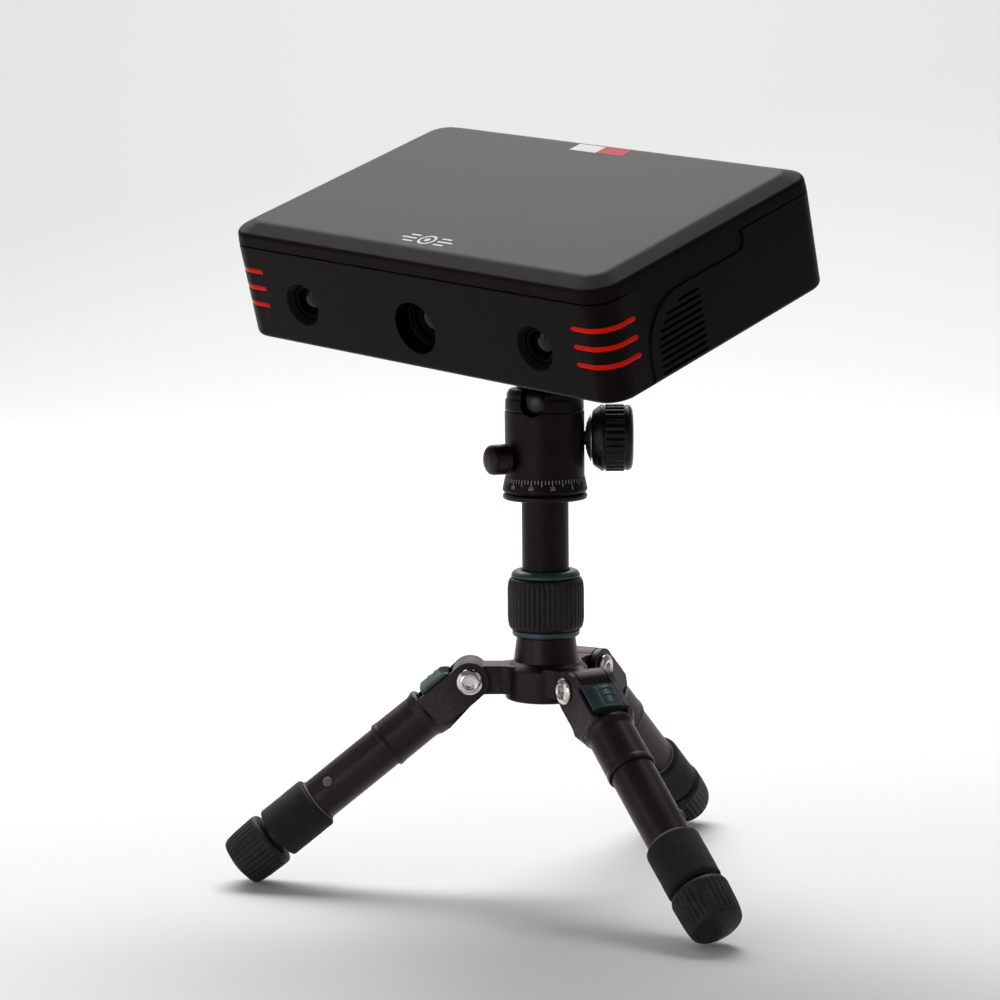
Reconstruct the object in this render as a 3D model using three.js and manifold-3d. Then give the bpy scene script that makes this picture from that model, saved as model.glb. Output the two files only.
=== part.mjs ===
// A compact structured-light 3-D scanner on a ball head and a three-legged mini tripod.
// Millimetres, +Z up. The floor is Z = 0 and the origin is the bottom centre of the whole box.

import * as THREE from 'three';
import { mergeVertices } from 'three/addons/utils/BufferGeometryUtils.js';
import Module from 'manifold-3d';

const wasm = await Module();
wasm.setup();

// ---------------------------------------------------------------- driving dimensions

const GAP = 0.3; // running and assembly clearance between neighbouring pieces

// Facets round a circle, by the size of the piece.
const WIDE = 20;
const MEDIUM = 16;
const NARROW = 10;
const FLUTES = 14; // round a grip

// Centre column and hub. Heights are in the tripod's working frame; the last lines stand it on its feet.
const COLUMN_R = 11;
const HUB_R = 19.4;
const HUB_BOTTOM = 84.6;
const HUB_TOP = 101;
const ARM_HEIGHT = 13.4;
const ARM_WIDTH = 15.4;
const HINGE_Z = 94.4;
const HINGE_R = 36;
const BARREL_R = 9;
const COLLAR_R = 18;
const HEAD_BOTTOM = 179.3;

// Legs, measured along each leg's own axis from its hinge pin.
const LEG_AZIMUTHS = { left: 180.5, front: 300.5, rear: 60.5 };
const LEG_DROP = 38.9; // degrees below the horizontal
const CHEEK_OUTER = 11.4;
const CHEEK_INNER = 8;
const SLEEVE_START = 24.4;
const SLEEVE_END = 51.4;
const TUBE_R = 10.4;
const TUBE_END = 92.2;
const INNER_TUBE_R = 8.8;
const FOAM_R = 12.95;
const FOAM_START = 94;
const FOAM_END = 118.4;
const FOOT_START = 120.9;
const FOOT_END = 143.2;
const TAB_HALF = 9.6;
const TAB_TOP = 12.8;
const TAB_CROWN_R = 19;
const BUTTON_AT = 82.4;
const BUTTON_TILT = 30; // degrees round the leg's axis, from its side towards its top

// Ball head.
const BALL_R = 15;
const BALL_Z = 224.8;
const HOUSING_R = 18.6;
const SKIRT_R = 19.9;
const RIM_Z = 231;
const BALL_KNOB_Z = 207.6;
const BALL_KNOB_R = 15.7;
const PAN_KNOB_Z = 199;
const PAN_KNOB_AZIMUTH = 210;
const NOTCH_AZIMUTH = -109;
const NOTCH_R = 5.9;

// The scanner's set on the ball: yaw, then pitch, then roll, in degrees.
const YAW = -45.2;
const PITCH = 18.9;
const ROLL = 5.4;

// Clamp and plate, measured along the stem from the ball's centre.
const CLAMP_BOTTOM = 23.4;
const PLATE_BOTTOM = 35.4;
const SCANNER_BOTTOM = 45.7;
const MOUNT_OFFSET = 3.9; // the tripod screw sits this far in front of the scanner's middle

// Scanner casing. Its own frame: x to its right, y to its back, z up from its underside.
const CASE_X = 117.9;
const CASE_Y = 73.3;
const CASE_H = 55.5;
const CASE_CORNER = 12;
const WALL = 2.6;
const CASE_FLOOR = 3;
const SEAM_Z = 45.6;
const BEVEL_RUN = 8.6;
const BEVEL_RISE = 3.7;
const CAMERA_X = 74;
const CAMERA_Z = 21.1;
const PROJECTOR_Z = 19.9;
const CAMERA_HOLE_R = 8;
const CAMERA_SINK_R = 10.4;
const PROJECTOR_HOLE_R = 12.35;
const STRIPE_ZS = [33.7, 25.3, 17];
const STRIPE_FRONT_X = 97.8;
const STRIPE_SIDE_Y = -54;
const STRIPE_H = 2.3;
const VENT_COUNT = 10;
const VENT_PITCH = 3.1;
const VENT_TOP_Z = 30.9;
const VENT_REAR_Y = -12.4;
const VENT_H = 1.2;
const PANEL_ARC_R = 24;
const PANEL_ARC_Y = -24;
const PANEL_ARC_Z = 12.6;

// ---------------------------------------------------------------- joining and cutting

// A closed three.js geometry as a manifold solid.
function solidOf(geometry) {
  const bare = new THREE.BufferGeometry();
  bare.setAttribute('position', geometry.getAttribute('position').clone());
  if (geometry.index) {
    bare.setIndex(geometry.index.clone());
  }
  const welded = mergeVertices(bare, 1e-4);
  const corners = welded.index.array;
  const triangles = [];
  for (let i = 0; i < corners.length; i += 3) {
    const [a, b, c] = [corners[i], corners[i + 1], corners[i + 2]];
    if (a !== b && b !== c && c !== a) {
      triangles.push(a, b, c);
    }
  }
  return new wasm.Manifold(new wasm.Mesh({
    numProp: 3,
    vertProperties: new Float32Array(welded.getAttribute('position').array),
    triVerts: new Uint32Array(triangles),
  }));
}

function geometryOf(solid) {
  const mesh = solid.getMesh();
  const geometry = new THREE.BufferGeometry();
  geometry.setAttribute('position', new THREE.BufferAttribute(new Float32Array(mesh.vertProperties), 3));
  geometry.setIndex(new THREE.BufferAttribute(new Uint32Array(mesh.triVerts), 1));
  geometry.computeVertexNormals();
  return geometry;
}

function join(...pieces) {
  return geometryOf(pieces.map(solidOf).reduce((whole, piece) => whole.add(piece)));
}

function cut(base, ...tools) {
  return geometryOf(tools.map(solidOf).reduce((rest, tool) => rest.subtract(tool), solidOf(base)));
}

function common(first, second) {
  return geometryOf(solidOf(first).intersect(solidOf(second)));
}

// ---------------------------------------------------------------- basic shapes

const degrees = THREE.MathUtils.degToRad;

// Box between two opposite corners.
function block(low, high) {
  const size = high.map((value, i) => value - low[i]);
  const box = new THREE.BoxGeometry(...size);
  return box.translate(...low.map((value, i) => value + size[i] / 2));
}

// Body of revolution about Z from [radius, height] pairs that start and end on the axis.
function turned(profile, segments = WIDE) {
  const points = profile.map(([radius, height]) => new THREE.Vector2(radius, height));
  return new THREE.LatheGeometry(points, segments).rotateX(Math.PI / 2);
}

// Closed ring about Z from [radius, height] pairs that run once round the section.
function ring(profile, segments = WIDE) {
  return turned([...profile, profile[0]], segments);
}

// A plain disc or rod about Z.
function rod(radius, low, high, segments = MEDIUM) {
  return turned([[0, low], [radius, low], [radius, high], [0, high]], segments);
}

// Turn a shape made about Z so that its +Z points along +X or +Y.
const alongX = (geometry) => geometry.rotateY(Math.PI / 2);
const alongY = (geometry) => geometry.rotateX(-Math.PI / 2);

// Flat outline from [x, y] pairs, extruded from z = low to z = high.
function slab(outline, low, high) {
  const shape = new THREE.Shape(outline.map(([x, y]) => new THREE.Vector2(x, y)));
  return new THREE.ExtrudeGeometry(shape, { depth: high - low, bevelEnabled: false }).translate(0, 0, low);
}

// A side profile of [x, z] pairs, extruded across y from -half to +half.
function sideSlab(outline, half) {
  return slab(outline, -half, half).rotateX(Math.PI / 2);
}

// A [y, z] profile, extruded along x from -half to +half.
function crossSlab(outline, half) {
  return slab(outline, -half, half).rotateY(Math.PI / 2).rotateX(Math.PI / 2);
}

// Points on an arc, both ends included, angles in degrees.
function arc(cx, cy, radius, from, to, steps) {
  return Array.from({ length: steps + 1 }, (_, i) => {
    const angle = degrees(from + ((to - from) * i) / steps);
    return [cx + radius * Math.cos(angle), cy + radius * Math.sin(angle)];
  });
}

// Rectangle with round corners.
function roundedRect(halfX, halfY, radius, steps = 8) {
  const x = halfX - radius;
  const y = halfY - radius;
  return [
    ...arc(x, y, radius, 0, 90, steps),
    ...arc(-x, y, radius, 90, 180, steps),
    ...arc(-x, -y, radius, 180, 270, steps),
    ...arc(x, -y, radius, 270, 360, steps),
  ];
}

// Round outline with evenly spaced shallow flutes.
function flutedOutline(radius, depth, count) {
  return Array.from({ length: count * 4 }, (_, i) => {
    const reach = i % 4 < 2 ? radius : radius - depth;
    const angle = ((i + 0.5) * 2 * Math.PI) / (count * 4);
    return [reach * Math.cos(angle), reach * Math.sin(angle)];
  });
}

// ---------------------------------------------------------------- finishes

function finish(color, roughness, metalness) {
  return () => new THREE.MeshStandardMaterial({ color, roughness, metalness });
}

const blackAnodised = finish(0x1b1a1c, 0.42, 0.75);
const tealAnodised = finish(0x33484d, 0.4, 0.6);
const chrome = finish(0xcfcfd2, 0.15, 1);
const bareSteel = finish(0x9b9a98, 0.35, 1);
const foam = finish(0x201f20, 0.95, 0);
const rubber = finish(0x2b2b2d, 0.8, 0);
const blackPlastic = finish(0x1c1a1a, 0.55, 0);
const coverPlastic = finish(0x4d4b4a, 0.6, 0.1);
const redPlastic = finish(0xd81806, 0.4, 0);
const greyPlastic = finish(0x6d7072, 0.5, 0);
const glass = finish(0x1a2230, 0.05, 0);
const circuitBoard = finish(0x14502e, 0.6, 0.1);
const bareAluminium = finish(0xa9abad, 0.4, 0.9);
const nylon = finish(0xd5d2c8, 0.7, 0);

// Add a named mesh with its own material to a group.
function add(parent, name, geometry, material) {
  const mesh = new THREE.Mesh(geometry, material());
  mesh.name = name;
  parent.add(mesh);
  return mesh;
}

// ---------------------------------------------------------------- hub, column and twist collar

const BORE_R = COLUMN_R + 0.35;
const SPIGOT_R = 13.4;
const SPIGOT_TOP = 130;
const STOP_R = 13.3;
const STOP_TOP = 88.8;

// One hub arm seen from above, pointing along +X, with its flare into the drum.
function hubArm() {
  const half = ARM_WIDTH / 2;
  const fillet = 8;
  const run = Math.sqrt((HUB_R + fillet) ** 2 - (half + fillet) ** 2);
  const meets = -90 - (Math.atan2(run, half + fillet) * 180) / Math.PI;
  const flare = [...arc(run, half + fillet, fillet, -90, meets, 5), [13, 9]];
  const lower = flare.map(([x, y]) => [x, -y]).reverse();
  const plan = slab([[HINGE_R, -half], [HINGE_R, half], ...flare, ...lower], 0, ARM_HEIGHT);
  plan.translate(0, 0, HINGE_Z - ARM_HEIGHT / 2);
  const barrel = alongY(rod(BARREL_R, -half, half, MEDIUM)).translate(HINGE_R, 0, HINGE_Z);
  return join(plan, barrel);
}

function hub() {
  const body = turned([
    [0, HUB_BOTTOM], [HUB_R - 0.8, HUB_BOTTOM], [HUB_R, HUB_BOTTOM + 0.8], [HUB_R, HUB_TOP - 1.5],
    [HUB_R - 1.8, HUB_TOP + 0.2], [15.9, HUB_TOP + 1.6], [15.2, 103.6], [13.8, 114.2],
    [SPIGOT_R, 114.2], [SPIGOT_R, SPIGOT_TOP], [0, SPIGOT_TOP],
  ]);
  const arms = Object.values(LEG_AZIMUTHS).map((azimuth) => hubArm().rotateZ(degrees(azimuth)));
  const pinHoles = Object.values(LEG_AZIMUTHS).map((azimuth) => {
    const hole = alongY(rod(3.2, -20, 20, NARROW));
    return hole.translate(HINGE_R, 0, HINGE_Z).rotateZ(degrees(azimuth));
  });
  const bore = rod(BORE_R, HUB_BOTTOM - 5, SPIGOT_TOP + 5, WIDE);
  const counterbore = rod(STOP_R + GAP, HUB_BOTTOM - 5, STOP_TOP + GAP, WIDE);
  return cut(join(body, ...arms), bore, counterbore, ...pinHoles);
}

function columnTube() {
  const inner = COLUMN_R - 1.5;
  const low = STOP_TOP + GAP;
  const high = HEAD_BOTTOM - GAP;
  return ring([[inner, low], [COLUMN_R, low], [COLUMN_R, high], [inner, high]]);
}

// Plug pressed into the column's foot. Its flange keeps the column from being drawn right out.
function columnEndStop() {
  return turned([
    [0, HUB_BOTTOM + 0.2], [STOP_R - 0.6, HUB_BOTTOM + 0.2], [STOP_R, HUB_BOTTOM + 0.8],
    [STOP_R, STOP_TOP], [9.2, STOP_TOP], [9.2, 97], [0, 97],
  ], MEDIUM);
}

function collarBottomRing() {
  const inner = SPIGOT_R + GAP;
  return ring([[inner, 114.6], [15.4, 114.6], [15.9, 115.1], [15.9, 117.4], [inner, 117.4]]);
}

// Twist grip: a fluted nut that screws down over the collet.
function collarGrip() {
  const flutes = slab(flutedOutline(COLLAR_R, 0.9, FLUTES), 120, 139.5);
  const core = turned([[0, 117.7], [16.4, 117.7], [17.1, 119], [17.1, 140.6], [16.4, 142.1], [0, 142.1]]);
  const threadBore = rod(SPIGOT_R + GAP, 110, SPIGOT_TOP + 1, MEDIUM);
  const coneBore = turned([
    [0, SPIGOT_TOP], [14.6, SPIGOT_TOP], [14.6, 137.6], [COLUMN_R + 0.5, 141.5], [COLUMN_R + 0.5, 145],
    [0, 145],
  ], MEDIUM);
  return cut(join(core, flutes), threadBore, coneBore);
}

function collarTopRing() {
  const inner = COLUMN_R + 0.5;
  return ring([[inner, 142.4], [15.9, 142.4], [16.3, 142.9], [16, 144.2], [14.9, 145.4], [inner, 145.8]]);
}

// Split collet that grips the column when the twist grip is tightened.
function columnCollet() {
  const body = ring([
    [BORE_R, 130.4], [14.1, 130.4], [14.1, 137.2], [BORE_R + 0.6, 140.4], [BORE_R, 140.4],
  ], MEDIUM);
  return cut(body, block([5, -0.8, 128], [18, 0.8, 143]));
}

// ---------------------------------------------------------------- one leg, along +X from its pin

// Clevis and sleeve: two cheeks round the hub's barrel, a block between them, a socket for the tube.
function legBracket() {
  const cheekOutline = [
    ...arc(0, 0, BARREL_R, 90, 270, 8),
    [4, -9.2], [9, -9.2], [13, -9], [16.5, -9.2], [19, -10.4], [21, -11.5], [22.4, -11.9], [26, -11.9],
    [26, BARREL_R - 0.4], [5, BARREL_R - 0.4],
  ];
  const cheeks = [-1, 1].map((side) => {
    const cheek = sideSlab(cheekOutline, (CHEEK_OUTER - CHEEK_INNER) / 2);
    return cheek.translate(0, (side * (CHEEK_OUTER + CHEEK_INNER)) / 2, 0);
  });
  const web = sideSlab([
    ...arc(0, 0, BARREL_R + 0.5, -44, 36, 4), [SLEEVE_START + 2, 6], [SLEEVE_START + 2, -11.6],
    [22.4, -11.6], [21, -11.2], [19, -10.2], [16.5, -9], [13, -8.8],
  ], CHEEK_INNER + 0.5);
  const sleeve = alongX(turned([
    [0, SLEEVE_START], [11.2, SLEEVE_START], [12.2, SLEEVE_START + 0.8], [12.2, 26.8], [11.3, 29.4],
    [11.3, 49], [TUBE_R + 0.5, SLEEVE_END], [0, SLEEVE_END],
  ], MEDIUM));
  const socket = alongX(rod(TUBE_R + GAP, 30, SLEEVE_END + 5, MEDIUM));
  const pinHole = alongY(rod(3.2, -20, 20, NARROW));
  return cut(join(...cheeks, web, sleeve), socket, pinHole);
}

// Hinge bolt with a domed head on each side and a hex socket in each head.
function hingeBolt() {
  const faces = [[2.9, 11.7], [6.2, 11.7], [6.2, 12.5], [4.6, 13.9], [2.3, 14.3], [2.1, 13], [0, 13]];
  const lower = faces.map(([radius, height]) => [radius, -height]).reverse();
  return alongY(turned([...lower, ...faces], NARROW));
}

// Turns a piece that points sideways up towards the leg's top, as the button stands.
const tiltedUp = (geometry) => geometry.rotateX(degrees(BUTTON_TILT));

// Angle lock that slides away from the hinge to free the leg. Its crowned cap rides over the cheeks' edges.
function lockTab() {
  const low = BARREL_R;
  const cap = sideSlab([
    [5.2, low], [8.9, TAB_TOP], [19.4, TAB_TOP], [20.6, TAB_TOP - 0.6], [21.2, 10.4], [21.2, low],
  ], TAB_HALF);
  const crown = alongX(rod(TAB_CROWN_R, 0, 30, 48)).translate(0, 0, TAB_TOP - TAB_CROWN_R);
  const tongue = sideSlab([[11.2, 6.4], [21.2, 6.4], [21.2, low + 0.5], [10.9, low + 0.5]], CHEEK_INNER - GAP);
  const ridges = [10.3, 14.1].map((at) => block([at, -4, TAB_TOP - 0.8], [at + 1.1, 4, TAB_TOP + 0.4]));
  return join(common(cap, crown), tongue, ...ridges);
}

function legTube() {
  const bore = TUBE_R - 1.3;
  const tube = ring([[bore, 30.4], [TUBE_R, 30.4], [TUBE_R, TUBE_END], [bore, TUBE_END]], MEDIUM);
  const hole = tiltedUp(alongY(rod(2.75, 5, 15, NARROW)));
  return cut(alongX(tube), hole.translate(BUTTON_AT, 0, 0));
}

function tubeEndRing() {
  const inner = INNER_TUBE_R + GAP;
  const low = TUBE_END + GAP;
  return alongX(ring([[inner, low], [10.8, low], [10.8, low + 1], [inner, low + 1]], MEDIUM));
}

// Spring button through the tube's wall. Its pin runs in the inner tube's slot.
function extensionButton() {
  const button = alongY(turned([
    [0, 7.5], [1.6, 7.5], [1.6, 9.5], [2.45, 9.5], [2.45, 10.9], [1.9, 11.3], [0, 11.4],
  ], NARROW));
  return tiltedUp(button).translate(BUTTON_AT, 0, 0);
}

// Sliding lower section, with a long slot that limits its travel.
function innerTube() {
  const bore = INNER_TUBE_R - 1.5;
  const tube = alongX(ring([[bore, 43], [INNER_TUBE_R, 43], [INNER_TUBE_R, 131], [bore, 131]], MEDIUM));
  return cut(tube, tiltedUp(block([BUTTON_AT - 37, 4, -2.1], [BUTTON_AT + 4, 12, 2.1])));
}

function foamGrip() {
  const inner = INNER_TUBE_R + GAP;
  return alongX(ring([
    [inner, FOAM_START], [FOAM_R, FOAM_START + 0.8], [FOAM_R, FOAM_END - 0.8], [inner, FOAM_END],
  ], MEDIUM));
}

function rubberFoot() {
  const inner = INNER_TUBE_R + GAP;
  const body = turned([
    [0, FOOT_START], [12.4, FOOT_START], [13.7, FOOT_START + 1.8], [12.5, FOOT_END - 2.4],
    [11.2, FOOT_END - 0.8], [0, FOOT_END],
  ], MEDIUM);
  return alongX(cut(body, rod(inner, FOOT_START - 5, 131.4, MEDIUM)));
}

// All pieces of one leg, in a group that stands at the hinge pin.
function leg(side) {
  const swing = new THREE.Group();
  swing.rotation.z = degrees(LEG_AZIMUTHS[side]);
  const lean = new THREE.Group();
  lean.position.set(HINGE_R, 0, HINGE_Z);
  lean.rotation.y = degrees(LEG_DROP);
  swing.add(lean);
  const name = (piece) => `leg_${side}_${piece}`;
  add(lean, name('bracket'), legBracket(), blackAnodised);
  add(lean, name('hinge_bolt'), hingeBolt(), chrome);
  add(lean, name('lock_tab'), lockTab(), tealAnodised);
  add(lean, name('outer_tube'), legTube(), blackAnodised);
  add(lean, name('end_ring'), tubeEndRing(), greyPlastic);
  add(lean, name('extension_button'), extensionButton(), greyPlastic);
  add(lean, name('inner_tube'), innerTube(), blackAnodised);
  add(lean, name('foam_grip'), foamGrip(), foam);
  add(lean, name('rubber_foot'), rubberFoot(), rubber);
  return swing;
}

// ---------------------------------------------------------------- ball head

const SPINDLE_R = 10;
const SPINDLE_TOP = 201;

// Pressed and screwed to the column: the fixed flange and the spindle the housing pans on.
function panBase() {
  return turned([
    [0, 168], [9.2, 168], [9.2, HEAD_BOTTOM - 0.2], [12, HEAD_BOTTOM - 0.2], [19.2, HEAD_BOTTOM],
    [19.8, HEAD_BOTTOM + 0.6], [19.8, HEAD_BOTTOM + 2], [19.2, HEAD_BOTTOM + 2.6],
    [SPINDLE_R, HEAD_BOTTOM + 2.6], [SPINDLE_R, SPINDLE_TOP], [0, SPINDLE_TOP],
  ]);
}

function headHousing() {
  const body = turned([
    [0, 182.4], [SKIRT_R - 0.9, 182.4], [SKIRT_R, 183.8], [SKIRT_R - 0.2, 184.8], [HOUSING_R, 190],
    [HOUSING_R, 220.8], [HOUSING_R - 0.5, 221.2], [HOUSING_R - 0.2, 221.7], [HOUSING_R - 0.4, 226.1],
    [HOUSING_R - 1, 226.6], [HOUSING_R - 1.1, 229], [HOUSING_R - 2.2, 230.7], [16, RIM_Z], [0, RIM_Z],
  ]);
  const spindleBore = rod(SPINDLE_R + GAP, 180, SPINDLE_TOP + GAP, MEDIUM);
  const cup = BALL_R + GAP;
  const socket = turned([
    [0, 203.3], [14.3, 203.3], [14.3, 218.4], [cup, 221],
    ...arc(0, BALL_Z, cup, 0, 24, 3), [13.9, 232], [0, 232],
  ], WIDE);
  const notchEnd = alongX(rod(NOTCH_R, 10, 25, MEDIUM));
  const notchOpen = block([10, -NOTCH_R, 0], [25, NOTCH_R, 20]);
  const notch = join(notchEnd, notchOpen).translate(0, 0, BALL_Z).rotateZ(degrees(NOTCH_AZIMUTH));
  const ballKnobHole = alongX(rod(3.8, 10, 25, NARROW)).translate(0, 0, BALL_KNOB_Z);
  const panKnobHole = alongX(rod(2.6, 8, 25, NARROW)).translate(0, 0, PAN_KNOB_Z);
  panKnobHole.rotateZ(degrees(PAN_KNOB_AZIMUTH));
  return cut(body, spindleBore, socket, notch, ballKnobHole, panKnobHole);
}

// Cup that the lock knob's cone lifts against the underside of the ball.
function ballBrake() {
  const cup = BALL_R + GAP + 0.2;
  const body = turned([
    [0, 204], [13.9, 204], [13.9, 217.4],
    ...arc(0, BALL_Z, cup, -29, -90, 6).map(([x, z]) => [Math.max(x, 0), z]),
  ], MEDIUM);
  return cut(body, alongX(rod(3.9, 4, 20, NARROW)).translate(0, 0, BALL_KNOB_Z));
}

function ballLockKnob() {
  const grip = slab(flutedOutline(BALL_KNOB_R, 0.8, FLUTES), 27.8, 37.4);
  const body = turned([
    [0, 5], [1.6, 5], [3.4, 8.6], [3.4, 19.1], [5.5, 19.1], [7.8, 20.1], [13.2, 22.8], [14.9, 25.4],
    [15.6, 26.8], [15.2, 27.8], [14.9, 27.8], [14.9, 37.4], [15.3, 37.6], [14.8, 39.8], [13, 41],
    [11, 41.3], [0, 41.3],
  ]);
  return alongX(join(body, grip)).translate(0, 0, BALL_KNOB_Z);
}

function panLockKnob() {
  const body = alongX(turned([
    [0, SPINDLE_R + 0.4], [2.2, SPINDLE_R + 0.4], [2.2, 19], [4.2, 19], [4.2, 20.4], [6.8, 20.4],
    [7.1, 20.9], [7.1, 28], [6.6, 29.2], [5, 30.2], [2.5, 30.7], [0, 30.8],
  ], MEDIUM));
  return body.translate(0, 0, PAN_KNOB_Z).rotateZ(degrees(PAN_KNOB_AZIMUTH));
}

// ---------------------------------------------------------------- clamp, in the stem's frame

function ball() {
  return new THREE.SphereGeometry(BALL_R, WIDE, 14).rotateX(Math.PI / 2);
}

// Stem whose foot is dished to sit on the ball.
function neck() {
  const dish = BALL_R + GAP;
  return turned([
    ...arc(0, 0, dish, 90, 67, 4).map(([x, z]) => [Math.max(x, 0), z]),
    [5.6, 17.5], [6.4, 19.6], [11.5, 21.6], [12, CLAMP_BOTTOM - GAP], [0, CLAMP_BOTTOM - GAP],
  ], MEDIUM);
}

const PLATE_HALF = 19;
const DOVETAIL_HALF = 15.5;
const CLAMP_SCREW_Z = 29.4;

// Dovetail slope shared by the plate and both jaws, [y, z] pairs on the +y side.
function jawSection(inner, outer, low, high) {
  return [[inner, low], [outer, low], [outer, high], [16.1, high], [19.5, 37.4], [19.5, 35.2], [inner, 35.2]];
}

function clampBody() {
  const deck = block([-20, -19, CLAMP_BOTTOM], [20, 18.4, 35]);
  const fixedJaw = crossSlab(jawSection(18.8, 24.4, CLAMP_BOTTOM, 41), 20).rotateZ(Math.PI);
  const screwHole = alongY(rod(2.9, -6, 20, NARROW)).translate(0, 0, CLAMP_SCREW_Z);
  return cut(join(deck, fixedJaw), screwHole);
}

function clampJaw() {
  const jaw = crossSlab(jawSection(18.8, 24.8, CLAMP_BOTTOM, 41), 20);
  return cut(jaw, alongY(rod(2.9, 15, 30, NARROW)).translate(0, 0, CLAMP_SCREW_Z));
}

function clampKnob() {
  const grip = slab(flutedOutline(8.2, 0.6, 9), 27, 37.6);
  const shaft = rod(2.6, -3, 27.6, NARROW);
  const collar = rod(6.4, 25.1, 27.6, MEDIUM);
  return alongY(join(shaft, collar, grip)).translate(0, 0, CLAMP_SCREW_Z);
}

function quickPlate() {
  const half = [
    [PLATE_HALF, PLATE_BOTTOM], [PLATE_HALF, 36.8], [DOVETAIL_HALF, 40.2], [DOVETAIL_HALF, 41.4],
    [PLATE_HALF, 41.4], [PLATE_HALF, SCANNER_BOTTOM - GAP],
  ];
  const mirrored = half.map(([y, z]) => [-y, z]).reverse();
  const plate = crossSlab([...half, ...mirrored], 25);
  return cut(plate, rod(7.4, 30, 39.3, MEDIUM), rod(3.45, 30, 50, NARROW));
}

// Quarter-inch camera screw with a slotted head under the plate.
function cameraScrew() {
  const screw = turned([[0, 35.7], [7, 35.7], [7, 39], [3.1, 39], [3.1, 50.4], [0, 50.4]], NARROW);
  return cut(screw, block([-8, -0.8, 35], [8, 0.8, 37]));
}

// ---------------------------------------------------------------- scanner, in its own frame

// Upright block with the casing's round corners, set in from its outside by `inset`.
function caseBlock(inset, low, high) {
  const outline = roundedRect(CASE_X - inset, CASE_Y - inset, CASE_CORNER - inset);
  return slab(outline, low, high);
}

// Rounded block whose lower or upper edge slopes in by `run` over `rise`.
function slopedBlock(inset, run, rise, low, high) {
  const outline = roundedRect(CASE_X - inset - run, CASE_Y - inset - run, CASE_CORNER - inset - run * 0.75);
  const shape = new THREE.Shape(outline.map(([x, y]) => new THREE.Vector2(x, y)));
  const depth = high - low - 2 * rise;
  const settings = { depth, bevelEnabled: true, bevelThickness: rise, bevelSize: run, bevelSegments: 1 };
  return new THREE.ExtrudeGeometry(shape, settings).translate(0, 0, low + rise);
}

// The shallow step in front of and above each side panel.
function sideRecess(side) {
  const outline = [
    [-61, -5], [-61, SEAM_Z + 5], [20, SEAM_Z + 5],
    ...arc(16, 40.6, 4, 0, -90, 4),
    ...arc(PANEL_ARC_Y, PANEL_ARC_Z, PANEL_ARC_R, 90, 180, 8),
    [PANEL_ARC_Y - PANEL_ARC_R, -5],
  ];
  const zone = crossSlab(outline, 10).translate(CASE_X, 0, 0);
  const depth = slab([
    [CASE_X + 2, -61], [CASE_X, -61], [CASE_X - 0.9, -44], [CASE_X - 0.9, 25], [CASE_X + 2, 25],
  ], -10, 60);
  const recess = common(zone, depth);
  return side > 0 ? recess : mirrored(recess);
}

// A copy mirrored in the plane x = 0, with its faces turned back outward.
function mirrored(geometry) {
  const copy = geometry.clone().scale(-1, 1, 1);
  const corners = copy.index.array;
  for (let i = 0; i < corners.length; i += 3) {
    [corners[i + 1], corners[i + 2]] = [corners[i + 2], corners[i + 1]];
  }
  return copy;
}

// One side's ventilation slots. Their front ends follow the panel's arc.
function ventSlots(side) {
  return Array.from({ length: VENT_COUNT }, (_, i) => {
    const z = VENT_TOP_Z - i * VENT_PITCH;
    const rise = Math.max(z - PANEL_ARC_Z, 0);
    const front = PANEL_ARC_Y - Math.sqrt((PANEL_ARC_R - 5.5) ** 2 - rise ** 2);
    const low = side > 0 ? CASE_X - WALL - 1 : -CASE_X - 1;
    return block([low, front, z - VENT_H / 2], [low + WALL + 2, VENT_REAR_Y, z + VENT_H / 2]);
  });
}

// Slots through one front corner for the three light stripes.
function stripeSlots(side) {
  const [near, far] = [STRIPE_FRONT_X - GAP, CASE_X + 5];
  const [low, high] = side > 0 ? [near, far] : [-far, -near];
  return STRIPE_ZS.map((z) => block(
    [low, -CASE_Y - 5, z - STRIPE_H / 2 - GAP],
    [high, STRIPE_SIDE_Y + GAP, z + STRIPE_H / 2 + GAP],
  ));
}

// Three light stripes on one curved backing behind the corner.
function stripeInlay(side) {
  const shellRing = cut(caseBlock(0.1, 0, 50), caseBlock(3.2, -5, 55));
  const backRing = cut(caseBlock(WALL + GAP, 0, 50), caseBlock(4.2, -5, 55));
  const stripes = STRIPE_ZS.map((z) => block(
    [STRIPE_FRONT_X, -CASE_Y - 5, z - STRIPE_H / 2],
    [CASE_X + 5, STRIPE_SIDE_Y, z + STRIPE_H / 2],
  ));
  const fingers = common(shellRing, join(...stripes));
  const backing = common(backRing, block([STRIPE_FRONT_X, -CASE_Y, 14], [CASE_X, STRIPE_SIDE_Y, 37]));
  const inlay = join(fingers, backing);
  return side > 0 ? inlay : mirrored(inlay);
}

const FRONT_BOSS_BACK = -66.9;
const PORT_PANEL = { x: 34, low: 12, high: 30 };

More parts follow.
